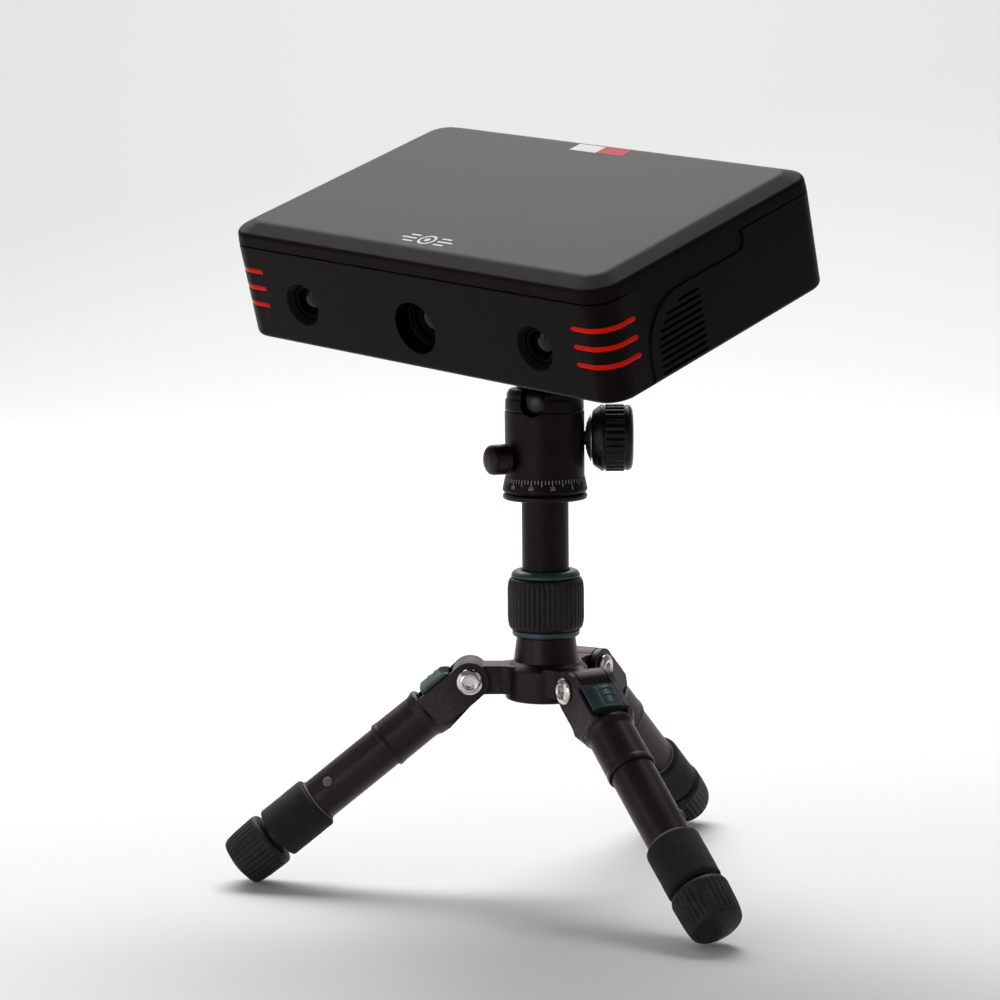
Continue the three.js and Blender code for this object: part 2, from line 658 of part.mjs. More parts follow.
function baseShell() {
  const outer = common(slopedBlock(0, 1, 1.5, 0, 80), block([-130, -80, -1], [130, 80, SEAM_Z]));
  const cavity = caseBlock(WALL, CASE_FLOOR, 60);
  const tray = cut(outer, cavity);
  const bosses = [-CAMERA_X, CAMERA_X].map((x) => (
    alongY(rod(13.2, -72, FRONT_BOSS_BACK, MEDIUM)).translate(x, 0, CAMERA_Z)
  ));
  const projectorBoss = alongY(rod(15.6, -72, -64, MEDIUM)).translate(0, 0, PROJECTOR_Z);
  const screwBoss = rod(9, 1, 8, MEDIUM).translate(0, -MOUNT_OFFSET, 0);
  const cameraHoles = [-CAMERA_X, CAMERA_X].map((x) => alongY(turned([
    [0, -80], [CAMERA_SINK_R + 2.4, -80], [CAMERA_SINK_R, -CASE_Y], [CAMERA_HOLE_R, -70.6],
    [CAMERA_HOLE_R, -60], [0, -60],
  ], MEDIUM)).translate(x, 0, CAMERA_Z));
  const projectorHole = alongY(rod(PROJECTOR_HOLE_R, -80, -60, MEDIUM)).translate(0, 0, PROJECTOR_Z);
  const screwHole = rod(3.45, -1, 5.4, NARROW).translate(0, -MOUNT_OFFSET, 0);
  const portHole = block([-PORT_PANEL.x, 65, PORT_PANEL.low], [PORT_PANEL.x, 80, PORT_PANEL.high]);
  const sides = [-1, 1].flatMap((side) => [sideRecess(side), ...ventSlots(side), ...stripeSlots(side)]);
  return cut(
    join(tray, ...bosses, projectorBoss, screwBoss),
    ...cameraHoles, projectorHole, screwHole, portHole, ...sides,
  );
}

function topCover() {
  const low = SEAM_Z + GAP;
  const whole = slopedBlock(0, BEVEL_RUN, BEVEL_RISE, -20, CASE_H);
  const outer = common(whole, block([-130, -80, low], [130, 80, 90]));
  const hollow = slopedBlock(WALL, BEVEL_RUN, BEVEL_RISE, -20, CASE_H - 2.4);
  return cut(outer, hollow);
}

// Board camera with a lens barrel that reaches into the front wall's hole.
function cameraBody() {
  const box = block([-14, -66.3, -13], [14, -44, 13]);
  const barrel = alongY(rod(CAMERA_HOLE_R - GAP, -70, -50, MEDIUM));
  const front = alongY(rod(6.2, -72, -67, MEDIUM));
  return cut(join(box, barrel), front);
}

function cameraLens() {
  return alongY(turned([[0, -69], [2.5, -68.8], [5.9, -68], [5.9, -67.4], [0, -67.4]], MEDIUM));
}

function projectorBody() {
  const box = block([-26, -61, -13.6], [26, -14, 19]);
  const barrel = alongY(rod(PROJECTOR_HOLE_R - 0.4, -66, -50, MEDIUM));
  const front = alongY(rod(9.8, -70, -62, MEDIUM));
  return cut(join(box, barrel), front);
}

function projectorLens() {
  return alongY(turned([
    [0, -65.6], [4, -65.2], [7.5, -64.1], [9.4, -62.8], [9.4, -62.3], [0, -62.3],
  ], MEDIUM));
}

// Stiff rail that keeps both cameras square to the projector.
function sensorRail() {
  const rail = block([-100, -58, CASE_FLOOR + GAP], [100, -44, 5.9]);
  const upright = (x) => block([x - 10, -56, 5], [x + 10, -46, 7.8]);
  return join(rail, upright(-CAMERA_X), upright(CAMERA_X));
}

function mainboard() {
  const board = block([-100, -8, 9], [100, 62, 10.6]);
  const chips = [[-70, 20], [-30, 40], [60, 25]].map(([x, y]) => block([x, y, 10], [x + 16, y + 16, 12.4]));
  const posts = [[-94, -2], [94, -2], [-94, 56], [94, 56]].map(([x, y]) => (
    rod(3, CASE_FLOOR + GAP, 9.5, NARROW).translate(x, y, 0)
  ));
  return join(board, ...chips, ...posts);
}

// Finned block that sheds the projector lamp's heat to the side vents.
function heatSink() {
  const base = block([-24, -13.6, 12.8], [24, 18, 17]);
  const fins = Array.from({ length: 8 }, (_, i) => {
    const x = -24 + i * 6.6;
    return block([x, -13.6, 16], [x + 1.8, 18, 38]);
  });
  return join(base, ...fins);
}

// Inset socket panel in the back wall, with a round power inlet and a data socket.
function portPanel() {
  const { x, low, high } = PORT_PANEL;
  const plate = block([-x + GAP, 67.6, low + GAP], [x - GAP, 72, high - GAP]);
  const middle = (low + high) / 2;
  const powerInlet = alongY(rod(4.2, 70, 75, NARROW)).translate(-18, 0, middle);
  const powerPin = alongY(rod(1.2, 69.5, 71.6, NARROW)).translate(-18, 0, middle);
  const dataSocket = block([6, 69.5, middle - 3.6], [19, 75, middle + 3.6]);
  const dataTongue = block([8, 69, middle - 0.6], [17, 71.6, middle + 0.6]);
  return join(cut(plate, powerInlet, dataSocket), powerPin, dataTongue);
}

// ---------------------------------------------------------------- assembly

const object = new THREE.Group();

add(object, 'hub', hub(), blackAnodised);
add(object, 'column_tube', columnTube(), blackAnodised);
add(object, 'column_end_stop', columnEndStop(), blackAnodised);
add(object, 'collar_bottom_ring', collarBottomRing(), tealAnodised);
add(object, 'collar_grip', collarGrip(), rubber);
add(object, 'collar_top_ring', collarTopRing(), tealAnodised);
add(object, 'column_collet', columnCollet(), nylon);

for (const side of Object.keys(LEG_AZIMUTHS)) {
  object.add(leg(side));
}

add(object, 'pan_base', panBase(), blackAnodised);
add(object, 'head_housing', headHousing(), blackAnodised);
add(object, 'ball_brake', ballBrake(), nylon);
add(object, 'ball_lock_knob', ballLockKnob(), blackAnodised);
add(object, 'pan_lock_knob', panLockKnob(), blackAnodised);

const stem = new THREE.Group();
stem.position.set(0, 0, BALL_Z);
stem.rotation.set(degrees(PITCH), degrees(ROLL), degrees(YAW), 'ZXY');
object.add(stem);

add(stem, 'ball', ball(), blackAnodised);
add(stem, 'neck', neck(), blackAnodised);
add(stem, 'clamp_body', clampBody(), blackAnodised);
add(stem, 'clamp_jaw', clampJaw(), blackAnodised);
add(stem, 'clamp_knob', clampKnob(), blackAnodised);
add(stem, 'quick_release_plate', quickPlate(), blackAnodised);
add(stem, 'camera_screw', cameraScrew(), bareSteel);

const scanner = new THREE.Group();
scanner.position.set(0, MOUNT_OFFSET, SCANNER_BOTTOM);
stem.add(scanner);

add(scanner, 'base_shell', baseShell(), blackPlastic);
add(scanner, 'top_cover', topCover(), coverPlastic);
add(scanner, 'port_panel', portPanel(), blackPlastic);
add(scanner, 'sensor_rail', sensorRail(), bareAluminium);
add(scanner, 'mainboard', mainboard(), circuitBoard);
add(scanner, 'heat_sink', heatSink(), bareAluminium);
add(scanner, 'projector_body', projectorBody().translate(0, 0, PROJECTOR_Z), blackPlastic);
add(scanner, 'projector_lens', projectorLens().translate(0, 0, PROJECTOR_Z), glass);

for (const [side, sign] of [['left', -1], ['right', 1]]) {
  add(scanner, `stripe_inlay_${side}`, stripeInlay(sign), redPlastic);
  add(scanner, `camera_body_${side}`, cameraBody().translate(sign * CAMERA_X, 0, CAMERA_Z), blackPlastic);
  add(scanner, `camera_lens_${side}`, cameraLens().translate(sign * CAMERA_X, 0, CAMERA_Z), glass);
}

// Stand the whole object on the floor with the origin under the middle of its box.
object.updateMatrixWorld(true);
const extent = new THREE.Box3().setFromObject(object, true);
const middle = extent.getCenter(new THREE.Vector3());
object.position.set(-middle.x, -middle.y, -extent.min.z);
object.updateMatrixWorld(true);

export default object;
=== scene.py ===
"""A compact structured-light 3-D scanner on a ball head and a folding mini tripod.

Shapes are built in millimetres, in the frame of the leg, stem or casing that they belong to, and
placed in the CAD frame in metres.
"""

import math

import bmesh
import bpy
from mathutils import Matrix, Vector


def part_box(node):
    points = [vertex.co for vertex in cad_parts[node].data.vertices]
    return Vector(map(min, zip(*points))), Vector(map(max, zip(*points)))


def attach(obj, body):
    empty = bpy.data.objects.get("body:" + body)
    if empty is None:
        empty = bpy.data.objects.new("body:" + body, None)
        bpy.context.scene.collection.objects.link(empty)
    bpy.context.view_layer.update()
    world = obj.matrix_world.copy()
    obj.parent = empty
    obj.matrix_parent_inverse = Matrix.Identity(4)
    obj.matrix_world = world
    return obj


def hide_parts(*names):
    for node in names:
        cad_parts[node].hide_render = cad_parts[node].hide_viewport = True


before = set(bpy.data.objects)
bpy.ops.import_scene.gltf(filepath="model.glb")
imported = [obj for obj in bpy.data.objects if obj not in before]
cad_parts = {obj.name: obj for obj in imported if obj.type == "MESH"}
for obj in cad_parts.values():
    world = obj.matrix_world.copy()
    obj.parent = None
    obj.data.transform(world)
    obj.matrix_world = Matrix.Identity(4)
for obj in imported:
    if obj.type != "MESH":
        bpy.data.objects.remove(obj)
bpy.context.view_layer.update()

MM = 0.001
GAP = 0.3  # clearance between neighbouring pieces

# Segments round a circle, by the size of the piece.
WIDE = 96
MEDIUM = 64
NARROW = 32

# ---------------------------------------------------------------- driving dimensions

# Centre column and hub. Heights are in the tripod's working frame.
COLUMN_R = 11
COLUMN_TOP = 179
BORE_R = 11.35
HUB_R = 19.4
HUB_BOTTOM = 84.6
HUB_TOP = 101
ARM_HEIGHT = 13.4
ARM_WIDTH = 15.4
HINGE_Z = 94.4
HINGE_R = 36
BARREL_R = 9
SPIGOT_R = 13.4
SPIGOT_TOP = 130
STOP_R = 13.3
STOP_TOP = 88.8
COLLAR_R = 18

# Legs, measured along each leg's own axis from its hinge pin.
LEG_AZIMUTHS = {"left": 180.5, "front": 300.5, "rear": 60.5}
LEG_DROP = 38.9
CHEEK_OUTER = 11.4
CHEEK_INNER = 8
SLEEVE_START = 24.4
SLEEVE_END = 51.4
TUBE_R = 10.4
TUBE_END = 92.2
INNER_TUBE_R = 8.8
FOAM_R = 12.95
FOAM_START = 94
FOAM_END = 118.4
FOOT_START = 120.9
FOOT_END = 143.2
BUTTON_AT = 82.4
BUTTON_TILT = 30  # degrees round the leg's axis, from its side towards its top
TAB_TOP = 12.8
TAB_HALF = 9.6
TAB_CROWN_R = 19

# Ball head.
BALL_R = 15
BALL_Z = 224.8
FLANGE_Z = 179.3
HOUSING_R = 18.6
SKIRT_R = 19.9
SKIRT_LOW = 184.8
SKIRT_HIGH = 190
RIM_Z = 231
BALL_KNOB_Z = 207.6
BALL_KNOB_R = 15.7
PAN_KNOB_Z = 199
PAN_KNOB_AZIMUTH = 210
NOTCH_AZIMUTH = -109
NOTCH_R = 5.9
SPINDLE_R = 10
ZERO_AZIMUTH = -49.4  # where the degree scale's zero stands

# The scanner's set on the ball, in degrees.
YAW = -45.2
PITCH = 18.9
ROLL = 5.4

# Clamp and plate, measured along the stem from the ball's centre.
CLAMP_BOTTOM = 23.4
PLATE_BOTTOM = 35.4
SCANNER_BOTTOM = 45.7
MOUNT_OFFSET = 3.9
CLAMP_SCREW_Z = 29.4

# Scanner casing. x to its right, y to its back, z up from its underside.
CASE_X = 117.9
CASE_Y = 73.3
CASE_H = 55.5
CASE_CORNER = 12
CORNER_SWELL = 0.24  # how fast the cover's corners round off above the seam
WALL = 2.6
CASE_FLOOR = 3
SEAM_Z = 45.6
BEVEL_RUN = 8.6
BEVEL_RISE = 3.7
CAMERA_X = 74
CAMERA_Z = 21.1
PROJECTOR_Z = 19.9
CAMERA_HOLE_R = 8
CAMERA_SINK_R = 10.4
PROJECTOR_HOLE_R = 12.35
STRIPE_ZS = (33.7, 25.3, 17)
STRIPE_FRONT_X = 97.8
STRIPE_SIDE_Y = -54
STRIPE_H = 2.3
VENT_COUNT = 10
VENT_PITCH = 3.1
VENT_TOP_Z = 30.9
VENT_REAR_Y = -12.4
VENT_H = 1.2
PANEL_ARC_R = 24
PANEL_ARC_Y = -24
PANEL_ARC_Z = 12.6
PANEL_STEP = 0.9

# ---------------------------------------------------------------- where each part stands

column_low, column_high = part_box("column_tube")
COLUMN_AXIS = (column_low + column_high) / 2


def turn(degrees, axis):
    return Matrix.Rotation(math.radians(degrees), 4, axis)


def shift(x, y, z):
    """A move in millimetres."""
    return Matrix.Translation(Vector((x, y, z)) * MM)


TRIPOD = Matrix.Translation((COLUMN_AXIS.x, COLUMN_AXIS.y, column_high.z - COLUMN_TOP * MM))
STEM = TRIPOD @ shift(0, 0, BALL_Z) @ turn(YAW, "Z") @ turn(PITCH, "X") @ turn(ROLL, "Y")
SCANNER = STEM @ shift(0, MOUNT_OFFSET, SCANNER_BOTTOM)


def leg_place(azimuth):
    return TRIPOD @ turn(azimuth, "Z") @ shift(HINGE_R, 0, HINGE_Z) @ turn(LEG_DROP, "Y")


ALONG_X = turn(90, "Y")
ALONG_Y = turn(-90, "X")

# ---------------------------------------------------------------- outlines


def arc(cx, cy, radius, start, end, steps):
    """Points on an arc, both ends included, angles in degrees."""
    angles = [math.radians(start + (end - start) * i / steps) for i in range(steps + 1)]
    return [(cx + radius * math.cos(a), cy + radius * math.sin(a)) for a in angles]


def eased(points, reach, closed=False, steps=4):
    """The outline with each corner rounded off from `reach` before it to `reach` after it."""
    result = []
    count = len(points)
    for i, corner in enumerate(points):
        if not closed and i in (0, count - 1):
            result.append(tuple(corner))
            continue
        here = Vector(corner)
        before = Vector(points[i - 1]) - here
        after = Vector(points[(i + 1) % count]) - here
        room = min(reach, 0.48 * before.length, 0.48 * after.length)
        first = here + before.normalized() * room
        last = here + after.normalized() * room
        for k in range(steps + 1):
            t = k / steps
            point = (1 - t) ** 2 * first + 2 * t * (1 - t) * here + t**2 * last
            result.append(tuple(point))
    return result


def finely(points, step):
    """The outline with its long stretches split into pieces no longer than `step`."""
    result = [tuple(points[0])]
    for start, end in zip(points, points[1:]):
        length = math.dist(start, end)
        parts = max(1, math.ceil(length / step))
        for k in range(1, parts + 1):
            result.append(tuple(a + (b - a) * k / parts for a, b in zip(start, end)))
    return result


def rounded_rectangle(half_x, half_y, radius, steps=10):
    x = half_x - radius
    y = half_y - radius
    corners = [(x, y, 0), (-x, y, 90), (-x, -y, 180), (x, -y, 270)]
    return [p for cx, cy, a in corners for p in arc(cx, cy, radius, a, a + 90, steps)]


# ---------------------------------------------------------------- solids, in millimetres


def solid(name, bm):
    """An object from a bmesh, with its faces turned outward."""
    bmesh.ops.recalc_face_normals(bm, faces=bm.faces)
    mesh = bpy.data.meshes.new(name)
    bm.to_mesh(mesh)
    bm.free()
    obj = bpy.data.objects.new(name, mesh)
    bpy.context.scene.collection.objects.link(obj)
    return obj


def skin(bm, rings, closed):
    """Faces between rings of vertices. A ring of one vertex is a pole."""
    pairs = list(zip(rings, rings[1:]))
    if closed:
        pairs.append((rings[-1], rings[0]))
    for lower, upper in pairs:
        count = max(len(lower), len(upper))
        for i in range(count):
            j = (i + 1) % count
            around = [lower[i % len(lower)], lower[j % len(lower)]]
            around += [upper[j % len(upper)], upper[i % len(upper)]]
            corners = list(dict.fromkeys(around))
            if len(corners) > 2:
                bm.faces.new(corners)


def turned(profile, segments=WIDE, closed=False, relief=None, name="turned"):
    """Body of revolution about Z from (radius, height) pairs. `relief` takes depth off the radius."""
    bm = bmesh.new()
    rings = []
    for radius, height in profile:
        if radius < 1e-6:
            rings.append([bm.verts.new((0, 0, height))])
            continue
        ring = []
        for i in range(segments):
            angle = 2 * math.pi * i / segments
            reach = radius - (relief(angle, radius, height) if relief else 0)
            ring.append(bm.verts.new((reach * math.cos(angle), reach * math.sin(angle), height)))
        rings.append(ring)
    skin(bm, rings, closed)
    return solid(name, bm)


def rod(radius, low, high, segments=MEDIUM):
    return turned([(0, low), (radius, low), (radius, high), (0, high)], segments)


def slab(outline, low, high, name="slab"):
    """Flat outline extruded from z = low to z = high."""
    bm = bmesh.new()
    rings = [[bm.verts.new((x, y, z)) for x, y in outline] for z in (low, high)]
    skin(bm, rings, False)
    bm.faces.new(rings[0])
    bm.faces.new(rings[1])
    return solid(name, bm)


def side_slab(outline, half):
    """A side profile of (x, z) pairs, extruded across y from -half to +half."""
    return moved(slab(outline, -half, half), turn(90, "X"))


def cross_slab(outline, half):
    """A (y, z) profile, extruded along x from -half to +half."""
    return moved(slab(outline, -half, half), turn(90, "X") @ turn(90, "Y"))


def block(low, high):
    outline = [(low[0], low[1]), (high[0], low[1]), (high[0], high[1]), (low[0], high[1])]
    return slab(outline, low[2], high[2])


def moved(obj, matrix):
    """The object's mesh moved by a matrix; a move in it is in millimetres here."""
    obj.data.transform(matrix)
    return obj


def offset(obj, x, y, z):
    return moved(obj, Matrix.Translation((x, y, z)))


def settle(obj):
    """Applies the object's modifiers to its mesh."""
    bpy.context.view_layer.update()
    graph = bpy.context.evaluated_depsgraph_get()
    mesh = bpy.data.meshes.new_from_object(obj.evaluated_get(graph))
    old = obj.data
    obj.modifiers.clear()
    obj.data = mesh
    bpy.data.meshes.remove(old)
    return obj


def combine(operation, base, others):
    for other in others:
        step = base.modifiers.new("combine", "BOOLEAN")
        step.operation = operation
        step.solver = "EXACT"
        step.object = other
    settle(base)
    for other in others:
        bpy.data.objects.remove(other)
    return base


def join(base, *others):
    return combine("UNION", base, others)


def cut(base, *others):
    return combine("DIFFERENCE", base, others)


def common(base, *others):
    return combine("INTERSECT", base, others)


def gathered(base, *others):
    """Several separate solids as one object."""
    bm = bmesh.new()
    for obj in (base, *others):
        bm.from_mesh(obj.data)
    for obj in others:
        bpy.data.objects.remove(obj)
    bm.to_mesh(base.data)
    bm.free()
    return base


def softened(obj, width, segments=2, angle=38):
    """Rounds every edge sharper than `angle`."""
    step = obj.modifiers.new("edges", "BEVEL")
    step.width = width
    step.segments = segments
    step.limit_method = "ANGLE"
    step.angle_limit = math.radians(angle)
    step.use_clamp_overlap = False
    step.miter_outer = "MITER_ARC"
    return settle(obj)


def place(obj, name, body, slot, look, at, *nodes, sharp=35):
    """Names a finished solid, puts it in the CAD frame, and says what it rides on. Its slot, what it is, is
    not used.
    """
    obj.name = name
    obj.data.name = name
    made_at = obj.data.attributes.new("made_at", "FLOAT_VECTOR", "POINT")
    made_at.data.foreach_set("vector", [c for vertex in obj.data.vertices for c in vertex.co])
    obj.data.transform(at @ Matrix.Scale(MM, 4))
    obj.data.materials.clear()
    obj.data.materials.append(look)
    obj.data.polygons.foreach_set("use_smooth", [True] * len(obj.data.polygons))
    obj.data.set_sharp_from_angle(angle=math.radians(sharp))
    normals = obj.modifiers.new("normals", "WEIGHTED_NORMAL")
    normals.keep_sharp = True
    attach(obj, body)
    if nodes:
        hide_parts(*nodes)
    return obj


def fluted(count, depth, low, high, ease, power):
    """Relief for `turned`: `count` grooves between two heights. A higher power makes them narrower."""

    def relief(angle, radius, height):
        inside = min(height - low, high - height) / ease
        window = max(0.0, min(1.0, inside))
        window = window * window * (3 - 2 * window)
        groove = (0.5 + 0.5 * math.cos(count * angle)) ** power
        return depth * window * groove

    return relief


# ---------------------------------------------------------------- materials


class Finish:
    """A node material on the coordinates its piece was made in, with scales given per millimetre."""

    def __init__(self, name, colour, roughness, metallic=0.0, on_cad=False, **values):
        self.material = bpy.data.materials.new(name)
        self.material.use_nodes = True
        self.tree = self.material.node_tree
        self.shader = self.tree.nodes["Principled BSDF"]
        self.shader.inputs["Base Color"].default_value = (*colour, 1)
        self.shader.inputs["Roughness"].default_value = roughness
        self.shader.inputs["Metallic"].default_value = metallic
        for socket, value in values.items():
            self.shader.inputs[socket.replace("_", " ").title().replace("Ior", "IOR")].default_value = value
        if on_cad:
            self.position = self.tree.nodes.new("ShaderNodeTexCoord").outputs["Object"]
        else:
            attribute = self.tree.nodes.new("ShaderNodeAttribute")
            attribute.attribute_name = "made_at"
            self.position = attribute.outputs["Vector"]
        self.unit = MM if on_cad else 1
        self.normal = None

    def node(self, kind, **inputs):
        made = self.tree.nodes.new(kind)
        for key, value in inputs.items():
            self.feed(made.inputs[key.replace("_", " ")], value)
        return made

    def feed(self, socket, value):
        if isinstance(value, bpy.types.NodeSocket):
            self.tree.links.new(value, socket)
        else:
            socket.default_value = value

    def stretched(self, x, y, z):
        """Positions in millimetres, drawn out where a factor is below 1."""
        mapping = self.node("ShaderNodeMapping", Vector=self.position)
        mapping.inputs["Scale"].default_value = (x / self.unit, y / self.unit, z / self.unit)
        return mapping.outputs["Vector"]

    def noise(self, scale, detail=3.0, stretch=(1, 1, 1), distortion=0.0):
        made = self.node("ShaderNodeTexNoise", Vector=self.stretched(*stretch))
        made.inputs["Scale"].default_value = scale
        made.inputs["Detail"].default_value = detail
        made.inputs["Distortion"].default_value = distortion
        return made.outputs["Fac"]

    def cells(self, scale, feature="F1", stretch=(1, 1, 1)):
        made = self.node("ShaderNodeTexVoronoi", Vector=self.stretched(*stretch))
        made.feature = feature
        made.inputs["Scale"].default_value = scale
        return made.outputs["Distance"]

    def spread(self, value, low, high, start=0.3, end=0.7):
        """The value's range from `start` to `end`, mapped to `low` to `high`."""
        made = self.node("ShaderNodeMapRange", Value=value)
        made.inputs["From Min"].default_value = start
        made.inputs["From Max"].default_value = end
        made.inputs["To Min"].default_value = low
        made.inputs["To Max"].default_value = high
        return made.outputs["Result"]

    def blend(self, factor, first, second):
        made = self.tree.nodes.new("ShaderNodeMix")
        made.data_type = "RGBA"
        self.feed(made.inputs[0], factor)
        for socket, value in ((made.inputs[6], first), (made.inputs[7], second)):
            self.feed(socket, value if isinstance(value, bpy.types.NodeSocket) else (*value, 1))
        return made.outputs[2]

    def colour(self, value):
        self.feed(self.shader.inputs["Base Color"], value)
        return self

    def roughness(self, value):
        self.feed(self.shader.inputs["Roughness"], value)
        return self

    def bump(self, height, depth, strength=1.0):
        """Relief `depth` millimetres deep, laid over what is there already."""
        made = self.node("ShaderNodeBump", Height=height)
        made.inputs["Distance"].default_value = depth * MM
        made.inputs["Strength"].default_value = strength
        if self.normal:
            self.tree.links.new(self.normal, made.inputs["Normal"])
        self.normal = made.outputs["Normal"]
        self.feed(self.shader.inputs["Normal"], self.normal)
        return self

    def edges(self, start=0.53, end=0.6):
        """0 on flat stretches and 1 along the outer edges, broken up a little."""
        geometry = self.tree.nodes.new("ShaderNodeNewGeometry")
        worn = self.spread(geometry.outputs["Pointiness"], 0, 1, start, end)
        patchy = self.spread(self.noise(0.35, 4), 0.25, 1)
        product = self.node("ShaderNodeMath")
        product.operation = "MULTIPLY"
        self.feed(product.inputs[0], worn)
        self.feed(product.inputs[1], patchy)
        return product.outputs[0]


def anodised(name, colour, worn, rough, metallic, shine=0.32, grain=(1, 1, 1)):
    """Bead-blasted, dyed aluminium: a fine matt grain, cloudy dye, brighter edges."""
    look = Finish(name, colour, rough, metallic, specular_ior_level=shine, specular_tint=(1, 0.86, 0.87, 1))
    cloud = look.spread(look.noise(0.09, 4), 0, 1)
    lighter = tuple(c * 1.35 + 0.0015 for c in colour)
    dyed = look.blend(cloud, colour, lighter)
    look.colour(look.blend(look.edges(), dyed, worn))
    look.roughness(look.spread(look.noise(1.4, 5, grain), rough - 0.06, rough + 0.09))
    look.bump(look.noise(9, 2, grain), 0.006, 0.5)
    look.bump(look.noise(1.1, 3), 0.012, 0.25)
    return look.material


def rubber(name, colour, rough):
    """Moulded rubber: dull, slightly dusty in the hollows, with a fine mould texture."""
    look = Finish(name, colour, rough, 0.0, specular_ior_level=0.3, specular_tint=(1, 0.86, 0.88, 1))
    dust = look.spread(look.noise(0.18, 5), 0, 1, 0.42, 0.75)
    dusty = tuple(c * 1.7 + 0.006 for c in colour)
    look.colour(look.blend(dust, colour, dusty))
    look.roughness(look.spread(look.noise(0.6, 4), rough - 0.08, rough + 0.08))
    look.bump(look.cells(3.2), 0.02, 0.5)
    look.bump(look.noise(0.5, 4), 0.05, 0.3)
    return look.material


def moulded(name, colour, rough, grain, depth, speck=0.0, speck_colour=(1, 1, 1), shine=0.07):
    """Spark-eroded moulded plastic: a leathery fine grain, with pale specks where asked."""
    look = Finish(name, colour, rough, specular_ior_level=shine, specular_tint=(1, 0.82, 0.82, 1))
    tone = look.spread(look.noise(0.03, 3), 0, 1)
    lighter = tuple(c * 1.15 for c in colour)
    base = look.blend(tone, colour, lighter)
    if speck:
        spots = look.spread(look.noise(5.5, 2), 0, speck, 0.56, 0.74)
        base = look.blend(spots, base, speck_colour)
    worn = tuple(c * 1.6 + 0.01 for c in colour)
    look.colour(look.blend(look.edges(0.55, 0.66), base, worn))
    look.roughness(look.spread(look.noise(2.0, 4), rough - 0.07, rough + 0.08))
    look.bump(look.noise(grain, 3), depth, 0.7)
    look.bump(look.noise(0.02, 2), 0.25, 0.2)
    return look.material


def polished(name, colour, rough, brush=(1, 1, 1), on_cad=False):
    """Bright metal with fine scratches along one direction and faint smears."""
    look = Finish(name, colour, rough, 1.0, on_cad)
    smear = look.spread(look.noise(0.25, 5, (1, 1, 1), 0.6), 0, 1)
    dull = tuple(c * 0.82 for c in colour)
    look.colour(look.blend(smear, colour, dull))
    look.roughness(look.spread(look.noise(1.2, 5, brush), rough, rough + 0.14))
    look.bump(look.noise(4, 2, brush), 0.004, 0.5)
    return look.material


def foam_cells():
    """Closed-cell foam sleeve: soft, matt and finely pitted."""
    look = Finish("foam_cells", (0.0125, 0.0105, 0.011), 0.93, sheen_weight=0.12, sheen_roughness=0.5)
    tone = look.spread(look.noise(0.4, 5), 0, 1)
    look.colour(look.blend(tone, (0.009, 0.0078, 0.008), (0.018, 0.0155, 0.016)))
    look.bump(look.cells(2.6), 0.09, 0.55)
    look.bump(look.noise(0.7, 4), 0.08, 0.4)
    return look.material


def light_strip():
    """Translucent red strip with a slightly brighter middle grain, and a faint painted glow: its emission
    stands in for light, as the strip holds no lamp.
    """
    # The emission here is a painted glow; the stripe is an inlay, not a lamp.
    look = Finish("light_strip", (0.8, 0.008, 0.0), 0.4, specular_ior_level=0.12,
                  emission_color=(0.9, 0.012, 0, 1), emission_strength=0.14)
    tone = look.spread(look.noise(0.7, 3), 0, 1)
    look.colour(look.blend(tone, (0.74, 0.005, 0.0), (0.86, 0.012, 0.0)))
    look.roughness(look.spread(look.noise(1.6, 3), 0.26, 0.4))
    look.bump(look.noise(2.2, 2), 0.01, 0.3)
    return look.material


def coated_glass(name, deep, glint_colour):
    """A coated lens: dark and glossy, with a painted reflection of its coloured coating that tints the glass
    towards its rim, where the surface turns from the view.
    """
    look = Finish(name, deep, 0.04, specular_ior_level=0.22)
    facing = look.node("ShaderNodeLayerWeight", Blend=0.35)
    dust = look.spread(look.noise(1.5, 5), 0, 0.12, 0.55, 0.8)
    # Painted reflection: the coating's colour goes into the base colour where the surface turns away from the
    # view.
    painted_coating_glint = look.blend(facing.outputs["Facing"], deep, glint_colour)
    look.colour(look.blend(dust, painted_coating_glint, (0.05, 0.05, 0.055)))
    look.roughness(look.spread(look.noise(0.8, 4), 0.03, 0.09))
    return look.material


def printed(name, colour, rough=0.5):
    """Screen-printed ink: thin, a little uneven."""
    look = Finish(name, colour, rough, specular_ior_level=0.08)
    patchy = look.spread(look.noise(1.8, 4), 0, 1, 0.35, 0.8)
    look.colour(look.blend(patchy, colour, tuple(c * 0.82 for c in colour)))
    look.roughness(look.spread(look.noise(2.5, 3), rough - 0.05, rough + 0.08))
    look.bump(look.noise(3, 3), 0.01, 0.3)
    return look.material


def board_green():
    """Solder mask over faint copper tracks."""
    look = Finish("board_green", (0.01, 0.07, 0.03), 0.35, on_cad=True, coat_weight=0.3, coat_roughness=0.3)
    tracks = look.node("ShaderNodeTexBrick", Vector=look.stretched(1, 1, 1))
    tracks.inputs["Scale"].default_value = 0.22
    tracks.inputs["Mortar Size"].default_value = 0.03
    tracks.inputs["Color1"].default_value = (0.008, 0.06, 0.025, 1)
    tracks.inputs["Color2"].default_value = (0.01, 0.085, 0.035, 1)
    tracks.inputs["Mortar"].default_value = (0.04, 0.16, 0.06, 1)
    look.colour(tracks.outputs["Color"])
    look.roughness(look.spread(look.noise(0.8, 3), 0.3, 0.5))
    look.bump(tracks.outputs["Fac"], 0.03, 0.4)
    return look.material


def nylon():
    look = Finish("nylon", (0.62, 0.6, 0.54), 0.5, on_cad=True, subsurface_weight=0.15)
    tone = look.spread(look.noise(0.3, 3), 0, 1)
    look.colour(look.blend(tone, (0.6, 0.57, 0.5), (0.7, 0.68, 0.62)))
    look.roughness(look.spread(look.noise(1.5, 3), 0.42, 0.6))
    look.bump(look.noise(2.5, 3), 0.015, 0.4)
    return look.material


